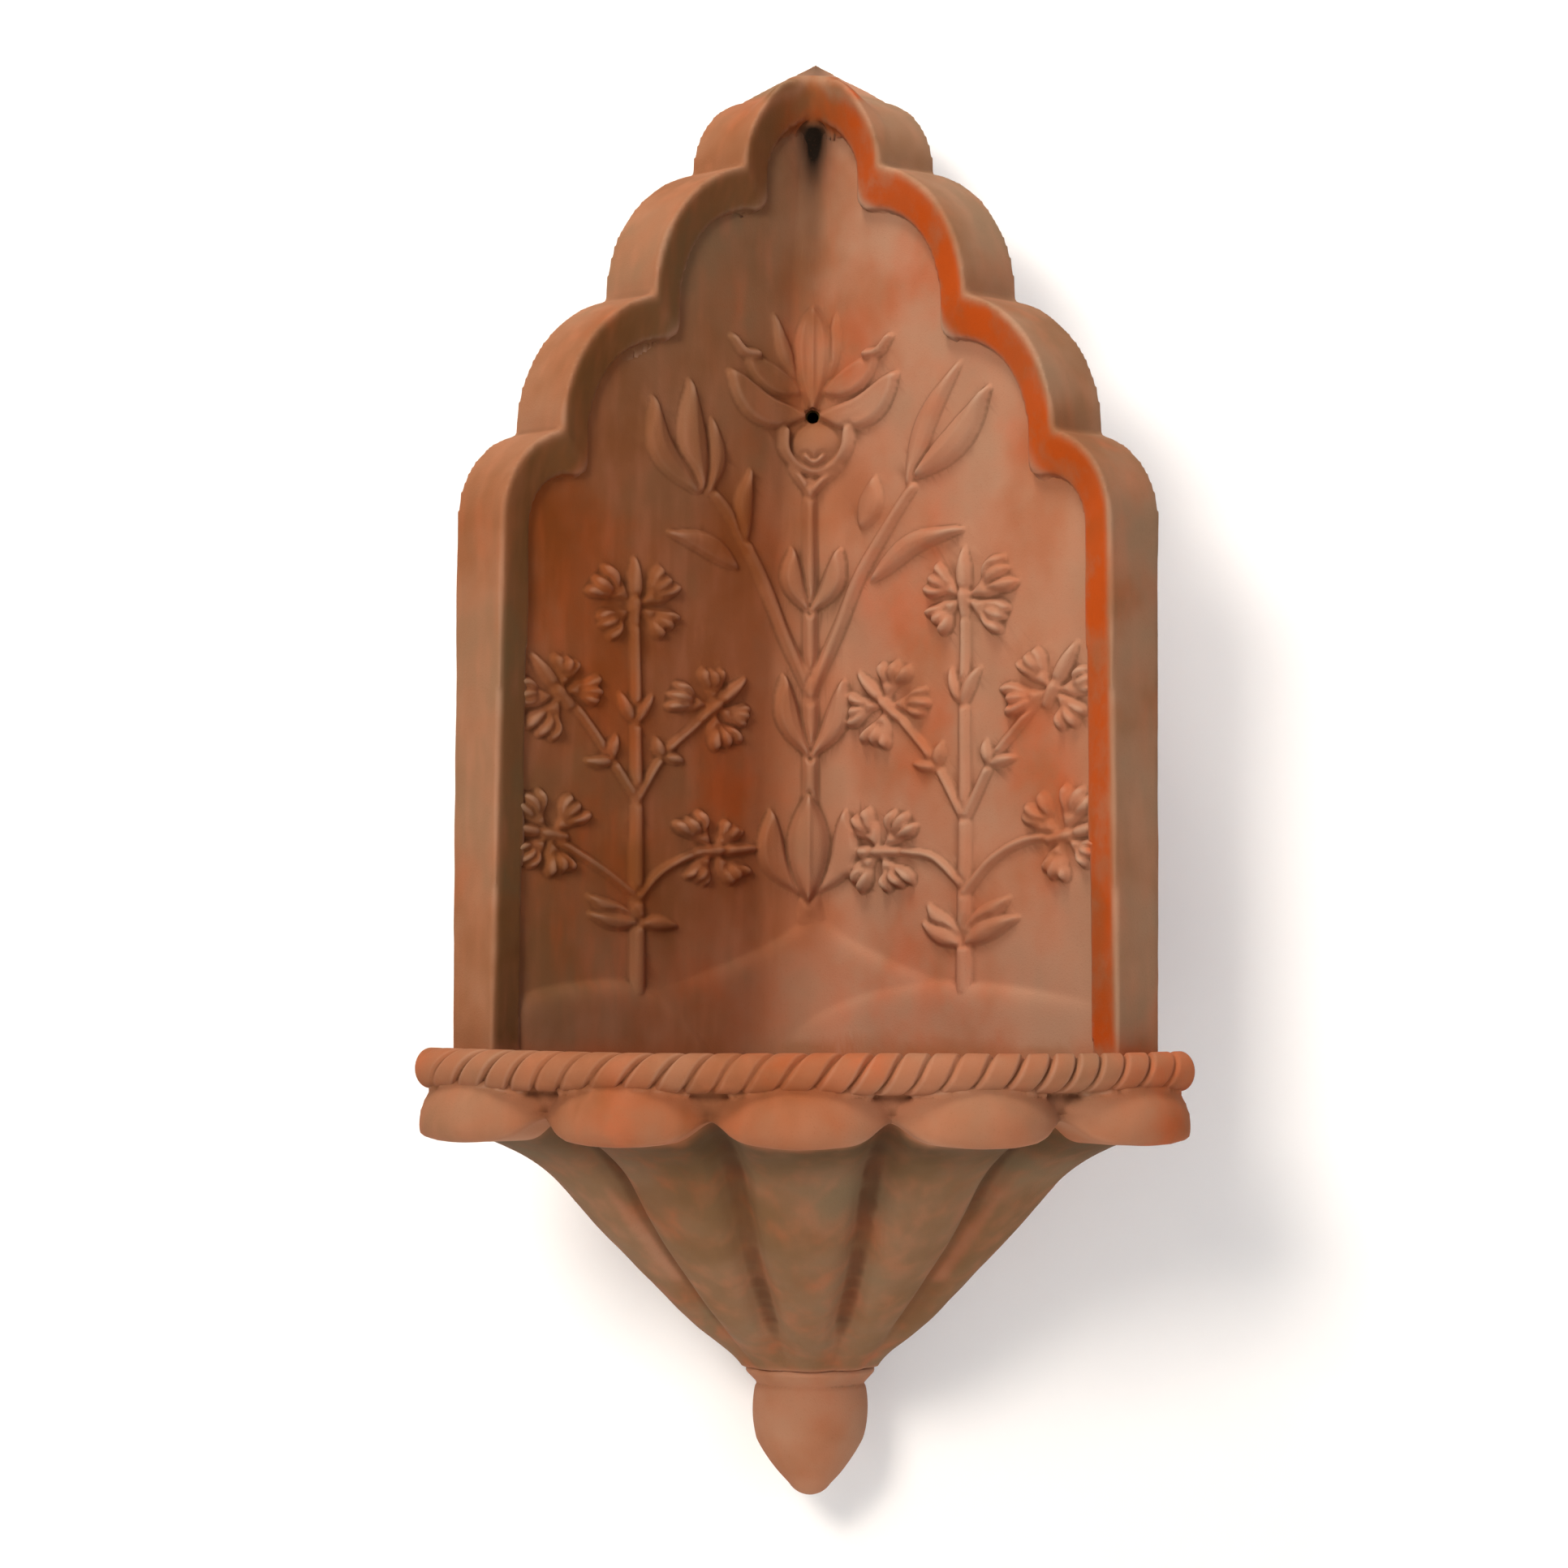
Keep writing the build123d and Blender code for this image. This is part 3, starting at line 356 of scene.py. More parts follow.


# Washes and painted shade on the clay, in millimetres: bounds of the zones, then ramps (start, end) and spots
# (middle, width)
zoneSet = {"nicheFrom": 22, "farEdge": 99.0, "sideEdge": 2.6, "rimEdge": 26, "rimRise": 1.2, "ropeFoot": -6,
           "lobeFoot": -36, "lobeReach": 286, "lobeUpper": -22, "corbelFoot": -178, "recessBack": 2,
           "recessEdge": 14, "rounds": 6}
patchSet = {"right": (-30, 30), "low": (130, 0), "high": (330, 530), "heart": ((-25, 60), (170, 120)),
            "corner": ((-140, 60), (60, 80)), "front": (0, 110), "under": (-90, -36), "groove": (0, 9),
            "notch": (-12, -24), "shade": (-56, -34), "apexShade": ((0, 10), (548, 588)),
            "creaseShade": ((0, 8), (450, 560))}


def tintClay(piece):
    # where the washes were laid on and rubbed back: orange slip, brown, olive and lime, the brown partly
    # painted shade; and painted shade under the apex, down the corner crease, between the lobes and under
    # them
    x, y, z = points(piece).T / mm
    along = (np.abs(x) - y) / root2
    off = -(np.abs(x) + y) / root2
    field = fieldAt(z)
    niche = z > zoneSet["nicheFrom"]
    edge = np.full(len(z), zoneSet["farEdge"])
    edge[niche] = edgeGap(along[niche], z[niche])
    side = niche & (edge < zoneSet["sideEdge"])
    rim = niche & (edge < zoneSet["rimEdge"]) & (off > field + zoneSet["rimRise"]) & ~side
    inside = niche & ~rim & ~side
    outer = outerSide(piece)
    ledge = (np.hypot(x, y) > zoneSet["lobeReach"]) | (z > zoneSet["lobeUpper"])
    lobes = ~niche & ((z > zoneSet["ropeFoot"]) | (outer & (z > zoneSet["lobeFoot"]) & ledge))
    corbel = ~niche & ~lobes & outer & (z > zoneSet["corbelFoot"])
    right = ramp(x, *patchSet["right"])
    left = 1 - right
    low = ramp(z, *patchSet["low"])
    high = ramp(z, *patchSet["high"])
    heart = spot(x, *patchSet["heart"][0]) * spot(z, *patchSet["heart"][1])
    corner = spot(x, *patchSet["corner"][0]) * spot(z, *patchSet["corner"][1])
    front = low * spot(x, *patchSet["front"])
    # darker toward the corbel's top, under the bowl: painted shade
    under = ramp(z, *patchSet["under"])
    groove = spot(grooveGap(x, y)[0], *patchSet["groove"])
    # painted shade in the notches between the lobes
    notch = groove ** 3 * ramp(z, *patchSet["notch"])
    # painted shade on the corbel just under the lobes
    shade = ramp(z, *patchSet["shade"])
    recess = (off > field - zoneSet["recessBack"]) & (edge > zoneSet["recessEdge"])
    # painted shade in the recess under the apex
    apexShade = spot(x, *patchSet["apexShade"][0]) * ramp(z, *patchSet["apexShade"][1]) * recess
    # painted shade down the corner crease, darker toward the top
    creaseShade = spot(x, *patchSet["creaseShade"][0]) * ramp(z, *patchSet["creaseShade"][1])
    faded = (1 - 0.5 * low) * (1 - 0.35 * high) * (1 - 0.35 * heart)
    # shares of each wash in the recess, on the rim, on the sides, on the lobes, on the corbel and elsewhere
    zones = (inside, rim, side, lobes, corbel)
    washes = {
        "slip": (0.1 + 0.12 * heart + 0.2 * right + 0.3 * front, 0.15 + 0.75 * right, 0.16, 0.24,
                 0.16 + 0.6 * groove, 0.2),
        # the brown is partly painted shade: heavier on the left half, and on the corbel toward the bowl above
        # it
        "brown_wash_and_shade": (0.72 * left * faded + 0.05 * right, 0.75 * left + 0.08, 0.42 * left + 0.25 * right,
                 0.1 + 0.34 * left, 0.26 + 0.55 * under, 0.08),
        "olive": (left * (0.55 * high + 0.5 * corner) + 0.1 * high, 0.5 * left, 0.2 + 0.25 * right,
                  0.06, 0.68, 0.1),
        "lime": (0.06 * left + 0.42 * right + 0.25 * low + 0.15 * high, 0.05 * left, 0.2 + 0.14 * right, 0.22,
                 0.24, 0.4),
        # painted shade: under the apex, down the corner crease, between the lobes and on the corbel under
        # them
        "painted_shade": (0.95 * apexShade + 0.5 * creaseShade, 0, 0, 0.75 * notch, 0.45 * shade, 0),
    }
    links = neighbours(piece)
    for name, (*shares, elsewhere) in washes.items():
        store(piece, name, soften(np.select(zones, shares, elsewhere), links, zoneSet["rounds"]))


def limewashedTerracotta():
    # pressed red clay, fired dull, with thin washes of orange slip, brown, olive and lime brushed on and
    # rubbed back: chalky and patchy, pale on what stands out (partly a painted highlight) and dark brown in
    # the hollows (partly painted shade)
    material, tree = startMaterial("limewashed_terracotta")
    place = addNode(tree, "ShaderNodeTexCoord").outputs["Object"]
    # clouds of colour about 90 mm across, a second set of 70 mm, and patches of 24 mm
    cloud = addNode(tree, "ShaderNodeTexNoise", values={"Scale": 1 / 0.09, "Detail": 3.0},
                    links={"Vector": place})
    moved = addNode(tree, "ShaderNodeMapping", values={"Location": (3.1, 1.7, 5.3)}, links={"Vector": place})
    haze = addNode(tree, "ShaderNodeTexNoise", values={"Scale": 1 / 0.07, "Detail": 3.0},
                   links={"Vector": moved.outputs[0]})
    patch = addNode(tree, "ShaderNodeTexNoise", values={"Scale": 1 / 0.024, "Detail": 4.0, "Roughness": 0.6},
                    links={"Vector": place})
    # brush marks: 16 mm apart and 60 mm long
    brush = addNode(tree, "ShaderNodeMapping", values={"Scale": (1 / 0.016, 1 / 0.016, 1 / 0.06)},
                    links={"Vector": place})
    streak = addNode(tree, "ShaderNodeTexNoise", values={"Scale": 1.0, "Detail": 2.0, "Roughness": 0.5},
                     links={"Vector": brush.outputs[0]})
    # grog in the clay is under 1 mm, drawn at 1.1 mm so that it shows
    grain = addNode(tree, "ShaderNodeTexNoise", values={"Scale": 1 / 0.0011, "Detail": 2.0},
                    links={"Vector": place})
    marks = {}
    for name in ("proud", "bulge", "slip", "brown_wash_and_shade", "olive", "lime", "painted_shade"):
        marks[name] = addNode(tree, "ShaderNodeAttribute", {"attribute_name": name}).outputs["Fac"]
    mixed = addNode(tree, "ShaderNodeMapRange", values={1: 0.35, 2: 0.65}, links={0: cloud.outputs[0]})
    colour = addNode(tree, "ShaderNodeMix", {"data_type": "RGBA"}, {6: linear("B47958"), 7: linear("A5623B")},
                     {0: mixed.outputs[0]}).outputs[2]
    # each wash: its colour, where it was laid, what adds to it (source, from, to, most) and what breaks it up
    # (source, from, to, least)
    washes = (("C65216", "slip", (cloud.outputs[0], 0.48, 0.68, 0.5), (patch.outputs[0], 0.3, 0.6, 0.4)),
              # brown wash, partly painted shade
              ("7A3E0C", "brown_wash_and_shade", (haze.outputs[0], 0.5, 0.3, 0.14), (streak.outputs[0], 0.25, 0.6, 0.6)),
              ("615332", "olive", (haze.outputs[0], 0.52, 0.68, 0.25), (streak.outputs[0], 0.25, 0.6, 0.55)),
              # lime, and pale on standing edges: rubbed back, and partly a painted highlight
              ("C29E84", "lime", (marks["proud"], 0.1, 0.9, 0.3), (haze.outputs[0], 0.3, 0.62, 0.35)),
              # dark brown in narrow creases: wash kept there, and partly painted shade
              ("4E2A12", "proud", (marks["proud"], -0.1, -0.8, 0.58), (haze.outputs[0], 0.36, 0.56, 0.3)),
              # dark brown in broad hollows: wash kept there, and partly painted shade
              ("54301A", "bulge", (marks["bulge"], -0.1, -0.9, 0.45), (patch.outputs[0], 0.2, 0.5, 0.6)),
              # near black: painted shade
              ("1E160E", "painted_shade", (haze.outputs[0], 0.9, 1.0, 0.0), (patch.outputs[0], 0.1, 0.4, 0.8)))
    for paint, laid, more, broken in washes:
        added = addNode(tree, "ShaderNodeMapRange", {"interpolation_type": "SMOOTHSTEP"},
                        {1: more[1], 2: more[2], 3: 0.0, 4: more[3]}, {0: more[0]})
        kept = addNode(tree, "ShaderNodeMapRange", {"interpolation_type": "SMOOTHSTEP"},
                       {1: broken[1], 2: broken[2], 3: broken[3], 4: 1.0}, {0: broken[0]})
        whole = added.outputs[0]
        if laid in ("slip", "brown_wash_and_shade", "olive", "lime", "painted_shade"):
            whole = addNode(tree, "ShaderNodeMath", {"operation": "ADD"},
                            links={0: marks[laid], 1: whole}).outputs[0]
        share = addNode(tree, "ShaderNodeMath", {"operation": "MULTIPLY", "use_clamp": True},
                        links={0: whole, 1: kept.outputs[0]})
        colour = addNode(tree, "ShaderNodeMix", {"data_type": "RGBA"}, {7: linear(paint)},
                         {0: share.outputs[0], 6: colour}).outputs[2]
    specks = addNode(tree, "ShaderNodeMapRange", values={1: 0.6, 2: 0.78, 3: 0.0, 4: 0.2},
                     links={0: grain.outputs[0]})
    colour = addNode(tree, "ShaderNodeMix", {"data_type": "RGBA"}, {7: linear("7E4A2C")},
                     {0: specks.outputs[0], 6: colour}).outputs[2]
    # the washes are given as they look in full light, so the clay under that light is darker
    colour = addNode(tree, "ShaderNodeMix", {"data_type": "RGBA", "blend_type": "MULTIPLY"},
                     {0: 1.0, 7: (*[claySet["darker"]] * 3, 1)}, {6: colour}).outputs[2]
    rough = addNode(tree, "ShaderNodeMapRange", values={1: 0.3, 2: 0.7, 3: 0.82, 4: 0.95},
                    links={0: patch.outputs[0]})
    skin = addNode(tree, "ShaderNodeBump", values={"Strength": 0.3, "Distance": 0.0005},
                   links={"Height": grain.outputs[0]})
    strokes = addNode(tree, "ShaderNodeBump", values={"Strength": 0.08, "Distance": 0.001},
                      links={"Height": streak.outputs[0], "Normal": skin.outputs[0]})
    shader = addNode(tree, "ShaderNodeBsdfPrincipled", values={"IOR": 1.45, "Specular IOR Level": 0.1},
                     links={"Base Color": colour, "Roughness": rough.outputs[0],
                            "Normal": strokes.outputs[0]})
    addNode(tree, "ShaderNodeOutputMaterial", links={"Surface": shader.outputs[0]})
    return material


clay = limewashedTerracotta()


def finishClay(piece, nodes, limit):
    markWearAndPaintedLight(piece)
    tintClay(piece)
    thinTo(piece, limit)
    pick(piece)
    bpy.ops.object.shade_smooth()
    piece.data.materials.clear()
    piece.data.materials.append(clay)
    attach(piece, "fountain")
    if nodes:
        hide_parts(*nodes)
    print(piece.name, triangles(piece), "triangles")


def copyOfNode(node, name):
    piece = bpy.data.objects.new(name, frame["nodes"][node].data.copy())
    bpy.context.scene.collection.objects.link(piece)
    pick(piece)
    bpy.ops.object.mode_set(mode="EDIT")
    bpy.ops.mesh.select_all(action="SELECT")
    bpy.ops.mesh.remove_doubles(threshold=claySet["weld"])
    bpy.ops.object.mode_set(mode="OBJECT")
    return piece


swell = bpy.data.textures.new("handSwell", "CLOUDS")
swell.noise_scale = claySet["waveSize"]


def makeBody(node, name):
    piece = copyOfNode(node, name)
    useModifier(piece, "REMESH", mode="VOXEL", voxel_size=claySet["voxel"][node])
    useModifier(piece, "SMOOTH", **claySet["smooth"])
    useModifier(piece, "DISPLACE", texture=swell, texture_coords="LOCAL", strength=claySet["waveHeight"],
                mid_level=0.5)
    return piece


bareSet = {"margin": 2, "front": 0.6, "foot": 0.3, "back": 1.4}


def layBareField(piece):
    # the solid's flat-topped plants are laid a little behind the field, and the relief piece covers them
    places = points(piece) / mm
    x, y, z = places.T
    surface = layOnNiche(x, z, 0)[:, 1]
    rim = rimSet["width"] + bareSet["margin"]
    within = (np.abs(x) - y) / root2 < archReach(z + rim) - rim
    covered = within & (y < surface + bareSet["front"]) & (z > archSet["foot"] + bareSet["foot"])
    places[covered, 1] = surface[covered] + bareSet["back"]
    setPoints(piece, places * mm)


def broadenRim(piece):
    # the rim's slope reaches further over the field, at right angles to the arch's edge
    places = points(piece) / mm
    facing = normals(piece)
    sign = np.tanh(places[:, 0] / rimSet["mitre"])
    alongWall = np.stack([sign, -np.ones(len(sign)), np.zeros(len(sign))], axis=1) / root2
    ahead = (facing * alongWall).sum(1)
    inward = alongWall * ahead[:, None]
    inward[:, 2] += facing[:, 2]
    size = np.linalg.norm(inward, axis=1)
    along = (places * alongWall).sum(1)
    off = -(np.abs(places[:, 0]) + places[:, 1]) / root2
    z = places[:, 2]
    field = fieldAt(z)
    chosen = (ahead + facing[:, 2] < rimSet["facing"]) & (size > rimSet["leastInward"])
    chosen &= (off > field - rimSet["behind"]) & (along > archReach(z) - rimSet["band"])
    share = np.clip((field + rimSet["rise"] - off) / rimSet["ease"], 0, 1) * chosen * ramp(z, *rimSet["foot"])
    share = soften(share, neighbours(piece), rimSet["rounds"])
    inward /= np.maximum(size, rimSet["leastInward"])[:, None]
    places += inward * (share * rimSet["more"])[:, None]
    setPoints(piece, places * mm)


def liftApex(places):
    along = (np.abs(places[:, 0]) - places[:, 1]) / root2
    places[:, 2] += apexLift(along, places[:, 2])
    return places


def roundMitre(piece):
    # the rim runs round the corner at the top, in place of a sharp mitre
    places = points(piece) / mm
    x, y, z = places.T
    front = ramp(-(np.abs(x) + y) / root2 - fieldAt(z), *tipSet["front"]) * ramp(z, *tipSet["frontRise"])
    places[:, 2] += tipSet["broad"] * spot(np.abs(x), tipSet["broadMiddle"], tipSet["broadWidth"]) * front
    places[:, 1] -= (np.hypot(x, tipSet["round"]) - np.abs(x)) * front * tipSet["roundShare"]
    links = neighbours(piece)
    eased = np.stack([soften(axis, links, tipSet["easeRounds"]) for axis in places.T], axis=1)
    share = (front * spot(x, 0, tipSet["easeWidth"]))[:, None]
    setPoints(piece, (places + (eased - places) * share) * mm)


nicheBody = makeBody("niche", "niche_body")
layBareField(nicheBody)
broadenRim(nicheBody)
setPoints(nicheBody, liftApex(points(nicheBody) / mm) * mm)
roundMitre(nicheBody)
useModifier(nicheBody, "SMOOTH", **claySet["smooth"])
finishClay(nicheBody, ["niche"], claySet["limit"]["niche"])

basinBody = makeBody("basin", "basin_body")


# the rope in millimetres; each wave is its size, its rate along the rope and its start
ropeSet = {"reach": 306.5, "lift": 9, "radius": 11.5, "core": 5.5, "drawMargin": 0.5,
           "spacingLeft": 18.5, "spacingRight": 17.5, "strandsLeft": 2.6, "strandsRight": 1.7,
           "groove": 3.2, "grooveWidth": 0.55, "plainEnd": 26, "plainSeam": 0.5, "endMore": 0.8,
           "spacingWave": (0.1, 0.06, 1.1), "grooveWave": (0.25, 0.057, 0), "girthWave": (0.35, 0.024, 0.6),
           "cuts": 480, "sides": 72, "steps": 400, "weld": 1e-5, "limit": 80000}


def drawInRope(piece):
    # the plain round under the rope is drawn in, so that the strands show over it
    places = points(piece)
    flat = np.hypot(places[:, 0], places[:, 1])
    ring = ropeSet["reach"] * mm
    outward = flat - ring
    upward = places[:, 2] - ropeSet["lift"] * mm
    distance = np.hypot(outward, upward)
    near = distance < (ropeSet["radius"] + ropeSet["drawMargin"]) * mm
    scale = ropeSet["core"] * mm / distance[near]
    newFlat = ring + outward[near] * scale
    places[near, 0] *= newFlat / flat[near]
    places[near, 1] *= newFlat / flat[near]
    places[near, 2] = ropeSet["lift"] * mm + upward[near] * scale
    setPoints(piece, places)


def deepenFlutes(piece):
    # the grooves between the corbel's ribs, cut deeper toward the bowl
    places = points(piece)
    facing = normals(piece)
    aside, flat = grooveGap(places[:, 0], places[:, 1])
    z = places[:, 2] / mm
    outer = outerSide(piece)
    ends = ramp(z, *fluteSet["upperEnd"]) * ramp(z, *fluteSet["lowerEnd"])
    slender = np.clip(flat / fluteSet["fullReach"], fluteSet["leastShare"], 1)
    depth = fluteSet["depth"] * spot(aside, 0, fluteSet["width"]) * ends * outer * slender
    # the corbel spreads under the lobes
    drop = np.clip(fluteSet["flareTop"] - z, 0, None)
    spread = fluteSet["flare"] * np.exp(-drop / fluteSet["flareFall"]) * outer * (z < fluteSet["flareFrom"])
    outward = places[:, :2] / flat[:, None] * spread[:, None]
    # between two lobes the lower edge is notched
    notch = ramp(z, *fluteSet["notchTop"]) * ramp(z, *fluteSet["notchFoot"])
    notch = notch * spot(aside, 0, fluteSet["notchWidth"])
    below = (facing[:, :2] * places[:, :2]).sum(1) > fluteSet["notchInward"] * flat
    below &= (facing[:, 2] < fluteSet["notchUp"]) & (flat > fluteSet["notchReach"])
    places -= facing * depth[:, None]
    places[:, :2] += outward
    places[:, 2] += fluteSet["notch"] * notch * below + spread * fluteSet["flareRise"]
    setPoints(piece, places)


drawInRope(basinBody)
deepenFlutes(basinBody)
finishClay(basinBody, ["basin"], claySet["limit"]["basin"])

finialBody = makeBody("finial", "finial_body")
finishClay(finialBody, ["finial"], claySet["limit"]["finial"])
print("clay bodies made")


def ropeWave(name, along):
    size, rate, start = ropeSet[name]
    return size * np.sin(along * rate + start)


def makeRope():
    length = ropeSet["reach"] * math.pi / 2 + ropeSet["endMore"]
    bpy.ops.object.select_all(action="DESELECT")
    bpy.ops.mesh.primitive_grid_add(x_subdivisions=ropeSet["cuts"], y_subdivisions=ropeSet["sides"], size=1)
    rope = bpy.context.object
    rope.name = "rope_rim"
    sheet = points(rope)
    along, around = sheet[:, 0] * length, sheet[:, 1] * 2 * math.pi
    share = along / length + 0.5
    strands = ropeSet["strandsLeft"] + (ropeSet["strandsRight"] - ropeSet["strandsLeft"]) * share
    # strands lie closer together toward the right, none quite like the next
    steps = np.linspace(-length / 2, length / 2, ropeSet["steps"])
    spacing = np.linspace(ropeSet["spacingLeft"], ropeSet["spacingRight"], ropeSet["steps"])
    spacing = spacing * (1 + ropeWave("spacingWave", steps))
    count = np.interp(along, steps, np.cumsum(np.gradient(steps) / spacing))
    phase = strands * around - 2 * math.pi * count
    wrapped = (phase + math.pi) % (2 * math.pi) - math.pi
    # plain at both ends and along the seam at the back
    ends = np.clip((length / 2 - np.abs(along)) / ropeSet["plainEnd"], 0, 1)
    ends = ends * np.clip((math.pi - np.abs(around)) / ropeSet["plainSeam"], 0, 1)
    depth = ropeSet["groove"] * ends * (1 + ropeWave("grooveWave", along))
    radius = ropeSet["radius"] - depth * spot(wrapped, 0, ropeSet["grooveWidth"])
    radius += ropeWave("girthWave", along)
    outward = ropeSet["reach"] + radius * np.cos(around)
    turn = along / ropeSet["reach"]
    lift = ropeSet["lift"] + radius * np.sin(around)
    setPoints(rope, np.stack([outward * np.sin(turn), -outward * np.cos(turn), lift], axis=1) * mm)
    pick(rope)
    bpy.ops.object.mode_set(mode="EDIT")
    bpy.ops.mesh.select_all(action="SELECT")
    bpy.ops.mesh.remove_doubles(threshold=ropeSet["weld"])
    bpy.ops.mesh.fill_holes(sides=0)
    bpy.ops.mesh.normals_make_consistent(inside=False)
    bpy.ops.object.mode_set(mode="OBJECT")
    useModifier(rope, "SMOOTH", factor=0.5, iterations=1)
    return rope


finishClay(makeRope(), [], ropeSet["limit"])
print("rope rim made")


# Floral relief, drawn as seen from the room (x and z in millimetres) and then laid into the corner
reliefSet = {"stepX": 1.0, "stepZ": 1.1, "half": 186, "low": 3.4, "high": 610, "proud": 0.5, "backing": 4,
             "inset": 7, "spout": (0, 410), "spoutRadius": 5, "spoutRing": 1.6, "spoutPull": 0.3,
             "boldness": 1.2, "plantRounds": 4, "hillRounds": 6, "limit": 96000,
             "trough": 0.3, "bareBelow": 0.8, "troughRounds": 12, "troughSteep": 2,
             "unevenness": 0.2, "waves": ((17, 41, 0), (-37, 23, 1.3), (9.5, 13, 0))}
stemSet = {"points": 140, "margin": 3, "cutWidth": 1.6, "cut": 0.6}
leafSet = {"points": 80, "ends": 0.004, "thin": 0.3, "level": 0.72, "ribWidth": 0.1, "edge": 4,
           "edgeRound": 0.6, "cutWidth": 1.8, "under": 0.6}
# turns and sways in degrees, the petal's root and the calyx in millimetres, the rest in shares of the size
flowerSet = {"petals": (54, 124, -54, -124), "petalSway": 8, "petalReach": (0.86, 1.1),
             "petalRise": (0.85, 1.15), "petalRoot": 1.5, "petalLength": 0.88, "petalWidth": 0.5,
             "petalBend": 0.12, "fingers": (-17, 17, 0), "fingerSway": 4, "fingerRoot": 0.5,
             "fingerPull": 0.7, "fingerReach": (0.9, 1.04), "fingerWidth": 0.24, "fingerRise": 1.15,
             "fingerBend": 0.1,
             "budLength": 1.05, "budWidth": 0.24, "calyx": (-9, -4, 2), "calyxRadius": (2.4, 3.6),
             "calyxRise": (0.8, 1.1)}
# each hill: middle, crest, the run to its left and right over one drop, how it curves, and its height
hillSet = {"hills": ((2, 108, 26, 26, 0.6, 3.6), (-114, 60, 91, 40, 2, 6.0), (75, 60, 79, 135, 2, 6.0)),
           "drop": 25, "spread": 85, "lip": 6, "fade": 50}
chance = np.random.default_rng(11)


def smoothLine(places, count):
    places = np.array(places, dtype=float)
    ends = np.vstack([2 * places[0] - places[1], places, 2 * places[-1] - places[-2]])
    along = np.linspace(0, len(places) - 1, count)
    index = np.minimum(along.astype(int), len(places) - 2)
    t = (along - index)[:, None]
    a, b, c, d = (ends[index + step] for step in range(4))
    return 0.5 * (2 * b + (c - a) * t + (2 * a - 5 * b + 4 * c - d) * t ** 2
                  + (3 * b - a - 3 * c + d) * t ** 3)


def nearLine(flat, line, margin):
    # points near a line: which ones, their share of its length, and how far to its side
    low, high = line.min(0) - margin, line.max(0) + margin
    found = np.flatnonzero(((flat > low) & (flat < high)).all(1))
    gap = flat[found][:, None, :] - line[None]
    nearest = (gap ** 2).sum(2).argmin(1)
    gap = gap[np.arange(len(found)), nearest]
    way = np.gradient(line, axis=0)
    step = np.hypot(way[:, 0], way[:, 1]) + 1e-9
    way = way / step[:, None]
    ahead = (gap * way[nearest]).sum(1)
    share = np.clip((nearest + ahead / step[nearest]) / (len(line) - 1), 0, 1)
    side = way[nearest, 0] * gap[:, 1] - way[nearest, 1] * gap[:, 0]
    return found, share, side, np.hypot(gap[:, 0], gap[:, 1])


def raiseStem(relief, places, radius, height):
    flat, lift = relief
    line = smoothLine(places, stemSet["points"])
    found, share, _, distance = nearLine(flat, line, max(radius) + stemSet["margin"])
    width = radius[0] + (radius[1] - radius[0]) * share
    top = height[0] + (height[1] - height[0]) * share
    swelling = top * np.sqrt(np.clip(1 - (distance / width) ** 2, 0, 1))
    beside = (distance > width) & (distance < width + stemSet["cutWidth"])
    below = np.where(beside, lift[found] * stemSet["cut"], lift[found])
    lift[found] = np.maximum(below, swelling)


def raiseLeaf(relief, base, tip, width, height, bend=0.0, belly=0.45, point=0.9, rib=0.25, dish=0.4,
              curl=0.0, cut=0.4):
    flat, lift = relief
    base, tip = np.array(base, dtype=float), np.array(tip, dtype=float)
    span = tip - base
    middle = (base + tip) / 2 + np.array([-span[1], span[0]]) * bend
    line = smoothLine([base, middle, tip], leafSet["points"])
    found, share, side, distance = nearLine(flat, line, width)
    power = math.log(0.5) / math.log(belly)
    inner = np.clip(share, leafSet["ends"], 1 - leafSet["ends"])
    half = width / 2 * np.sin(math.pi * inner ** power) ** point + leafSet["thin"]
    across = distance / half
    level = leafSet["level"]
    top = height * (level + (1 - level) * np.sin(math.pi * share)) + curl * share ** 3
    form = 1 - dish + dish * across ** 2 + rib * spot(side, 0, leafSet["ribWidth"] * width)
    swelling = top * form * np.clip(1 - across ** leafSet["edge"], 0, 1) ** leafSet["edgeRound"]
    beside = (across >= 1) & (distance < half + leafSet["cutWidth"])
    below = np.where(beside, lift[found] * cut, lift[found])
    lift[found] = np.where(across < 1, np.maximum(lift[found] * leafSet["under"], swelling), below)


def raiseDome(relief, middle, radii, height, power=0.5):
    flat, lift = relief
    reach = ((flat[:, 0] - middle[0]) / radii[0]) ** 2 + ((flat[:, 1] - middle[1]) / radii[1]) ** 2
    np.maximum(lift, height * np.clip(1 - reach, 0, 1) ** power, out=lift)


def toward(degrees):
    return np.array([math.sin(math.radians(degrees)), math.cos(math.radians(degrees))])


def sway(most):
    return chance.uniform(-most, most)


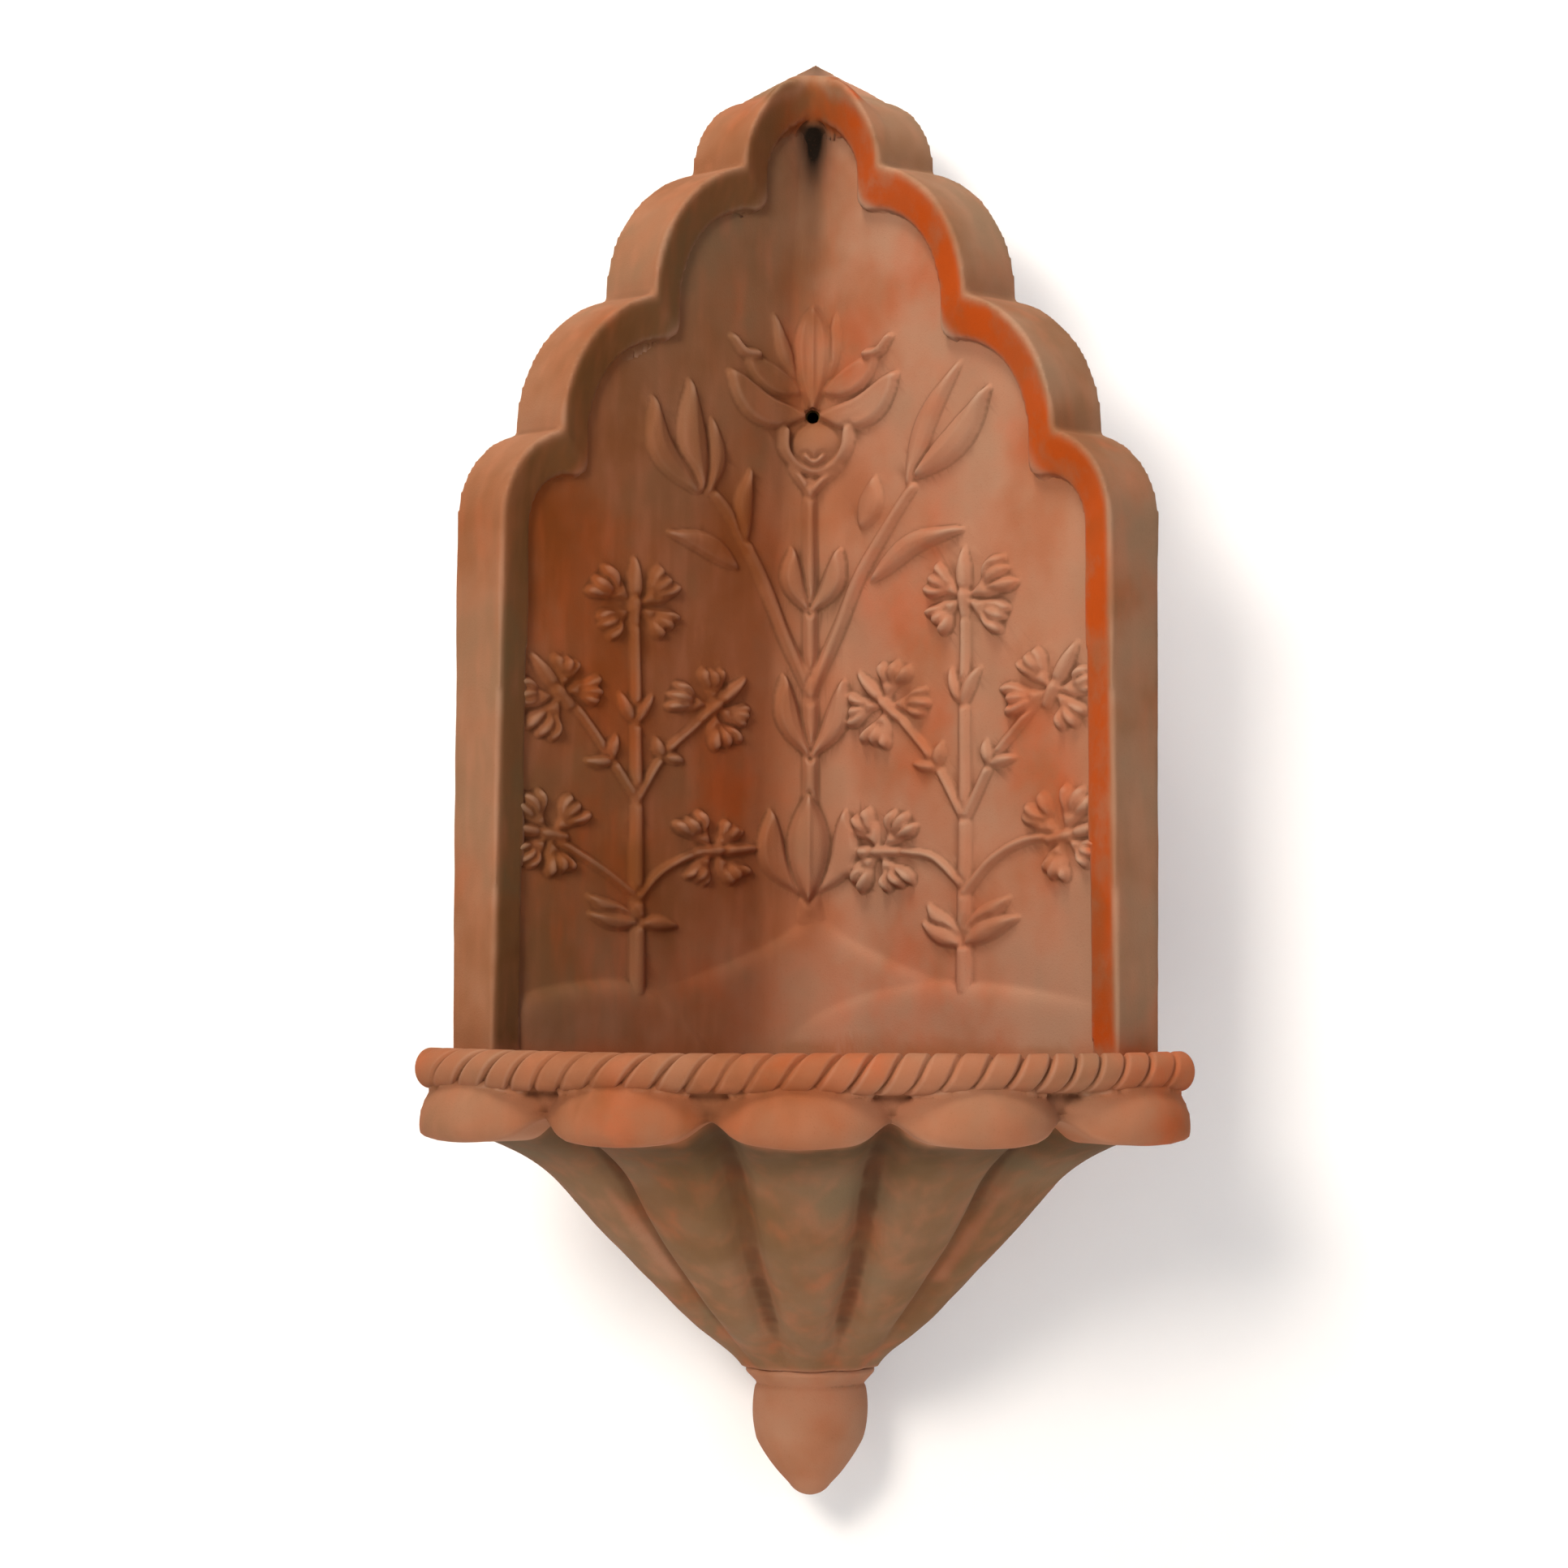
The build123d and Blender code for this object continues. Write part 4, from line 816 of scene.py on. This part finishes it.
def raiseFlower(relief, middle, turn, size, height):
    # four petals that part into three fingers each, a slim bud between the upper two, and the calyx
    form = flowerSet
    middle = np.array(middle)
    for petal in form["petals"]:
        heading = turn + petal + sway(form["petalSway"])
        reach = size * chance.uniform(*form["petalReach"])
        rise = height * chance.uniform(*form["petalRise"])
        root = middle + form["petalRoot"] * toward(heading)
        tip = middle + form["petalLength"] * reach * toward(heading)
        raiseLeaf(relief, root, tip, form["petalWidth"] * reach, rise, bend=sway(form["petalBend"]),
                  belly=0.7, point=0.95, rib=0.0, dish=0.25)
        for finger in form["fingers"]:
            angle = heading + finger + sway(form["fingerSway"])
            root = middle + form["fingerRoot"] * reach * toward(heading + finger * form["fingerPull"])
            tip = middle + reach * chance.uniform(*form["fingerReach"]) * toward(angle)
            raiseLeaf(relief, root, tip, form["fingerWidth"] * reach, rise * form["fingerRise"],
                      bend=sway(form["fingerBend"]), belly=0.6, point=0.6, rib=0.0, dish=-0.2, curl=0.8,
                      cut=0.7)
    tip = middle + size * form["budLength"] * toward(turn)
    raiseLeaf(relief, middle, tip, size * form["budWidth"], height, rib=0.0, dish=-0.2, cut=0.6)
    low, high = form["calyxRise"]
    raiseStem(relief, [middle + step * toward(turn) for step in form["calyx"]], form["calyxRadius"],
              (height * low, height * high))


def raiseHills(flat):
    # ground at the foot of the plants, in folds that lie one before the other
    x, z = flat.T
    ground = np.zeros(len(flat))
    for middle, crest, left, right, curve, height in hillSet["hills"]:
        down = hillSet["drop"] * np.abs((x - middle) / np.where(x < middle, left, right)) ** curve
        depth = np.clip(crest - down - z, 0, None)
        spread = np.exp(-((x - middle) / hillSet["spread"]) ** 4)
        rise = (1 - np.exp(-depth / hillSet["lip"])) * np.exp(-depth / hillSet["fade"])
        ground = np.maximum(ground, height * spread * rise)
    return ground


def raiseMiddlePlant(relief):
    raiseStem(relief, [(0, 98), (-0.5, 106), (-1, 125)], (9, 5), (2.0, 5.0))
    raiseStem(relief, [(-0.6, 120), (-0.6, 190), (-0.6, 240)], (4.8, 4.6), (5.0, 5.0))
    raiseStem(relief, [(-0.6, 236), (-1.2, 300), (-1.4, 368)], (4.4, 4.0), (5.0, 4.6))
    raiseStem(relief, [(-0.6, 238), (-18, 274), (-35, 315), (-52, 347), (-66, 362)], (4.0, 2.6), (4.4, 3.2))
    raiseStem(relief, [(-0.6, 238), (16, 274), (32, 311), (48, 338), (63, 360)], (4.0, 2.6), (4.4, 3.2))
    for tip, bend in (((-26, 164), 0.18), ((22, 164), -0.18)):
        raiseLeaf(relief, (-1.7, 110), tip, 16, 5.0, bend=bend, belly=0.6, rib=0.1, dish=0.3, curl=2.0)
    raiseLeaf(relief, (-1.7, 108), (-1.7, 174), 26, 7.0, belly=0.5, point=0.8, rib=0.25, dish=-0.2)
    for tip, bend in (((-18, 248), 0.1), ((21.5, 245), -0.1)):
        raiseLeaf(relief, (-0.6, 197), tip, 14, 5.8, bend=bend, belly=0.55, rib=0.2, dish=0.2, curl=1.5)
    for tip, bend in (((-13, 327), 0.12), ((18.5, 327), -0.12)):
        raiseLeaf(relief, (-1.6, 287), tip, 13, 5.8, bend=bend, belly=0.55, rib=0.1, dish=0.2, curl=1.5)
    raiseLeaf(relief, (-46, 312), (-86, 330), 13, 4.4, bend=-0.1, rib=0.2, dish=0.2)
    raiseLeaf(relief, (38, 305), (94, 332), 12, 4.4, bend=0.12, rib=0.2, dish=0.2, curl=2.0)
    raiseLeaf(relief, (-41, 330), (-38, 374), 9, 4.2, bend=0.06, rib=0.15, dish=0.2)
    raiseLeaf(relief, (32, 338), (40, 369), 14, 4.2, bend=-0.04, rib=0.2, dish=0.2)
    raiseLeaf(relief, (-64, 356), (-61, 402), 11, 3.6, bend=-0.08, dish=0.1)
    raiseLeaf(relief, (-68, 356), (-74, 424), 16, 4.4, bend=0.03, dish=-0.1)
    raiseLeaf(relief, (-70, 356), (-95, 411), 14, 4.0, bend=0.14, dish=0.1, curl=1.0)
    raiseLeaf(relief, (60, 362), (91, 433), 11, 3.8, bend=0.06, dish=0.1)
    raiseLeaf(relief, (65, 366), (108, 415), 17, 4.6, bend=-0.08, dish=-0.1, curl=1.0)
    # the large flower round the spout
    raiseLeaf(relief, (-8, 428), (-24, 471), 8, 3.6, bend=0.05, rib=0.0, dish=0.1)
    raiseLeaf(relief, (7, 428), (15, 473), 8, 3.8, bend=-0.05, rib=0.0, dish=0.1)
    for side in (-1, 1):
        raiseLeaf(relief, (side * 6, 424), (side * 42, 446), 16, 5.4, bend=side * -0.1, belly=0.5, rib=0.15,
                  dish=0.5)
        raiseStem(relief, [(side * 36, 445), (side * 43, 446), (side * 49, 454)], (3.2, 1.6), (6.0, 5.0))
    for tip, base, bend in (((-51, 433), (-4, 410), 0.2), ((53, 431), (4, 410), -0.2)):
        raiseLeaf(relief, base, tip, 19, 6.4, bend=bend, belly=0.52, point=0.75, rib=0.1, dish=0.45, curl=1.5)
    raiseLeaf(relief, (0, 412), (0, 477), 23, 6.8, belly=0.58, point=0.62, rib=0.35, dish=0.5)
    for side in (-1, 1):
        raiseStem(relief, [(2 + side * 15, 378), (side * 8, 371), (-1.2, 362)], (2.8, 3.2), (4.0, 5.0))
    cup = [(-18.5, 400), (-18, 388), (-10, 379), (2, 375.5), (14, 379), (22, 388), (24, 400)]
    raiseStem(relief, cup, (3.0, 3.0), (5.0, 5.0))
    raiseDome(relief, (2, 391), (14.5, 14), 8.0)
    raiseStem(relief, [(-6, 384), (1.5, 380.5), (9, 384)], (1.8, 1.8), (8.6, 8.6))


# flowers: x, z, turn in degrees and size; leaves: base, tip and width
sidePlants = {
    "left": {
        "stem": [(-103.3, 52), (-103.6, 168), (-105, 282)],
        "twigs": ([(-103.6, 168), (-118, 192), (-133, 215), (-143, 227)],
                  [(-102.5, 170), (-88, 196), (-72, 213), (-62, 223)],
                  [(-104, 110), (-122, 125), (-138, 136), (-149, 143)],
                  [(-102, 110), (-92, 123), (-78, 133), (-66, 138)]),
        "flowers": ((-105.3, 284, 0, 28), (-146.6, 229, -35, 27), (-60, 226, 45, 26), (-152.5, 146, -80, 26),
                    (-60, 138.5, 85, 25)),
        "leaves": (((-104, 96), (-131, 110), 10), ((-104, 94), (-130, 99), 9), ((-102, 94), (-80, 92), 9),
                   ((-104, 214), (-113, 231), 6), ((-104, 214), (-95, 231), 6), ((-117, 191), (-133, 190), 6),
                   ((-118, 192), (-115, 206), 6), ((-89, 194), (-93, 206), 6), ((-88, 194), (-77, 192), 6))},
    "right": {
        "stem": [(94.7, 54), (94.5, 157), (94.2, 288)],
        "twigs": ([(93, 160), (78, 190), (62, 212), (51, 225)],
                  [(96, 160), (110, 190), (126, 212), (139, 227)],
                  [(93, 118), (77, 134), (61, 138), (48, 138.5)],
                  [(96, 114), (110, 132), (128, 143), (148, 146)]),
        "flowers": ((94.2, 290, 0, 29), (47.9, 228, -40, 27), (146, 231.5, 25, 29), (44.6, 138.5, -90, 27),
                    (152.5, 145.4, 75, 27)),
        "leaves": (((93.5, 84), (73, 106), 11), ((93.5, 82), (70, 95), 10), ((95.5, 84), (121, 110), 12),
                   ((95.5, 82), (126, 98), 11), ((94, 226), (86, 248), 6), ((94, 226), (103, 248), 6),
                   ((79, 189), (64, 192), 6), ((79, 190), (81, 204), 6), ((110, 189), (107, 204), 6),
                   ((110, 189), (124, 193), 6))},
}
# radius and height at the foot and tip of stems and twigs, and the height of leaves and flowers
sideSet = {"stem": ((4.4, 2.3), (3.6, 3.6)), "twig": ((2.3, 2.2), (3.4, 3.4)), "leaf": 4.0, "flower": 4.2}


def raiseSidePlant(relief, plant):
    raiseStem(relief, plant["stem"], *sideSet["stem"])
    for twig in plant["twigs"]:
        raiseStem(relief, twig, *sideSet["twig"])
    for base, tip, width in plant["leaves"]:
        raiseLeaf(relief, base, tip, width, sideSet["leaf"], bend=0.05, rib=0.2, dish=0.1)
    for x, z, turn, size in plant["flowers"]:
        raiseFlower(relief, (x, z), turn, size, sideSet["flower"])


def makeRelief():
    wide, tall = 2 * reliefSet["half"], reliefSet["high"] - reliefSet["low"]
    bpy.ops.object.select_all(action="DESELECT")
    bpy.ops.mesh.primitive_grid_add(x_subdivisions=round(wide / reliefSet["stepX"]),
                                    y_subdivisions=round(tall / reliefSet["stepZ"]), size=1)
    panel = bpy.context.object
    panel.name = "floral_relief"
    flat = points(panel)[:, :2]
    flat = np.stack([flat[:, 0] * wide, (flat[:, 1] + 0.5) * tall + reliefSet["low"]], axis=1)
    lift = np.zeros(len(flat))
    relief = (flat, lift)
    for plant in sidePlants.values():
        raiseSidePlant(relief, plant)
    raiseMiddlePlant(relief)
    links = neighbours(panel)
    lift = soften(lift, links, reliefSet["plantRounds"]) * reliefSet["boldness"]
    # the field is worked back a little round the plants
    bare = lift < reliefSet["bareBelow"]
    around = soften(1.0 - bare, links, reliefSet["troughRounds"]) * reliefSet["troughSteep"]
    lift -= reliefSet["trough"] * np.clip(around, 0, 1) * bare
    lift = np.maximum(lift, soften(raiseHills(flat), links, reliefSet["hillRounds"]))
    x, z = flat.T
    uneven = sum(np.sin(x / perX + z / perZ + start) for perX, perZ, start in reliefSet["waves"])
    lift += reliefSet["unevenness"] * uneven
    # the field's points beside the spout are drawn to its round edge
    gap = flat - np.array(reliefSet["spout"])
    far = np.hypot(gap[:, 0], gap[:, 1])
    hole = reliefSet["spoutRadius"]
    ring = (far >= hole) & (far < hole + reliefSet["spoutRing"])
    scale = np.where(ring, (hole + (far - hole) * reliefSet["spoutPull"]) / np.maximum(far, 0.1), 1)
    flat = np.array(reliefSet["spout"]) + gap * scale[:, None]
    setPoints(panel, liftApex(layOnNiche(flat[:, 0], flat[:, 1], lift + reliefSet["proud"])) * mm)
    along = root2 * np.abs(x) + fieldAt(z)
    outside = (along > archReach(z + reliefSet["inset"]) - reliefSet["inset"]) | (far < hole)
    bpy.ops.object.mode_set(mode="EDIT")
    bpy.ops.mesh.select_mode(type="VERT")
    bpy.ops.mesh.select_all(action="DESELECT")
    bpy.ops.object.mode_set(mode="OBJECT")
    panel.data.vertices.foreach_set("select", outside)
    bpy.ops.object.mode_set(mode="EDIT")
    bpy.ops.mesh.delete(type="VERT")
    bpy.ops.object.mode_set(mode="OBJECT")
    return panel


floralRelief = makeRelief()
finishClay(floralRelief, [], reliefSet["limit"])
useModifier(floralRelief, "SOLIDIFY", thickness=reliefSet["backing"] * mm, offset=-1)
print("floral relief laid", triangles(floralRelief))


# Finishes of the parts that stay as the frame has them; scale is the size of the grain in metres
finishSet = {"detail": 4.0, "roughSpread": 0.08, "bumpDepth": 0.0004}


def plainFinish(name, base, other, scale, roughness, metallic=0.0, bump=0.0):
    material, tree = startMaterial(name)
    place = addNode(tree, "ShaderNodeTexCoord").outputs["Object"]
    noise = addNode(tree, "ShaderNodeTexNoise", values={"Scale": 1 / scale, "Detail": finishSet["detail"]},
                    links={"Vector": place})
    colour = addNode(tree, "ShaderNodeMix", {"data_type": "RGBA"}, {6: linear(base), 7: linear(other)},
                     {0: noise.outputs[0]})
    spread = finishSet["roughSpread"]
    rough = addNode(tree, "ShaderNodeMapRange", values={3: roughness - spread, 4: roughness + spread},
                    links={0: noise.outputs[0]})
    skin = addNode(tree, "ShaderNodeBump", values={"Strength": bump, "Distance": finishSet["bumpDepth"]},
                   links={"Height": noise.outputs[0]})
    shader = addNode(tree, "ShaderNodeBsdfPrincipled", values={"Metallic": metallic},
                     links={"Base Color": colour.outputs[2], "Roughness": rough.outputs[0],
                            "Normal": skin.outputs[0]})
    addNode(tree, "ShaderNodeOutputMaterial", links={"Surface": shader.outputs[0]})
    return material


finishes = {
    # cast brass gone brown in water, dull with a little gold left
    "brass": plainFinish("tarnished_cast_brass", "6E5426", "2E2414", 0.004, 0.5, 1.0, 0.2),
    # zinc-plated steel: grey, with the plating's faint bloom
    "steel": plainFinish("zinc_plated_steel", "A9ACAE", "8A8E92", 0.006, 0.38, 1.0, 0.1),
    # moulded EPDM: soft black, slightly dusty
    "seal_rubber": plainFinish("moulded_epdm_rubber", "1C1C1C", "2B2A29", 0.003, 0.7, 0.0, 0.25),
    # extruded rubber hose: black with a satin skin
    "hose_rubber": plainFinish("extruded_rubber_hose", "202223", "2C2E2F", 0.005, 0.5, 0.0, 0.15),
    # spark-eroded moulded ABS: an even black grain of about 0.8 mm
    "pump_plastic": plainFinish("moulded_black_abs", "17191B", "212427", 0.0008, 0.55, 0.0, 0.4),
    # moulded acetal: milky white, smooth
    "rotor_plastic": plainFinish("moulded_white_acetal", "D8D8D2", "C9C8C0", 0.004, 0.4, 0.0, 0.1),
    # sintered ferrite: charcoal and grainy
    "magnet": plainFinish("sintered_ferrite", "26262A", "333338", 0.0012, 0.6, 0.0, 0.35),
    # enamelled copper winding under clear resin
    "winding": plainFinish("enamelled_copper", "8C3F1C", "A85A2A", 0.0015, 0.35, 1.0, 0.4),
    "terracotta": clay,
}
for part in frame["record"]["subparts"]:
    shown = frame["nodes"][part["node"]]
    for place in shown.material_slots:
        place.material = finishes[part["material_slot"]]
print("finishes set")
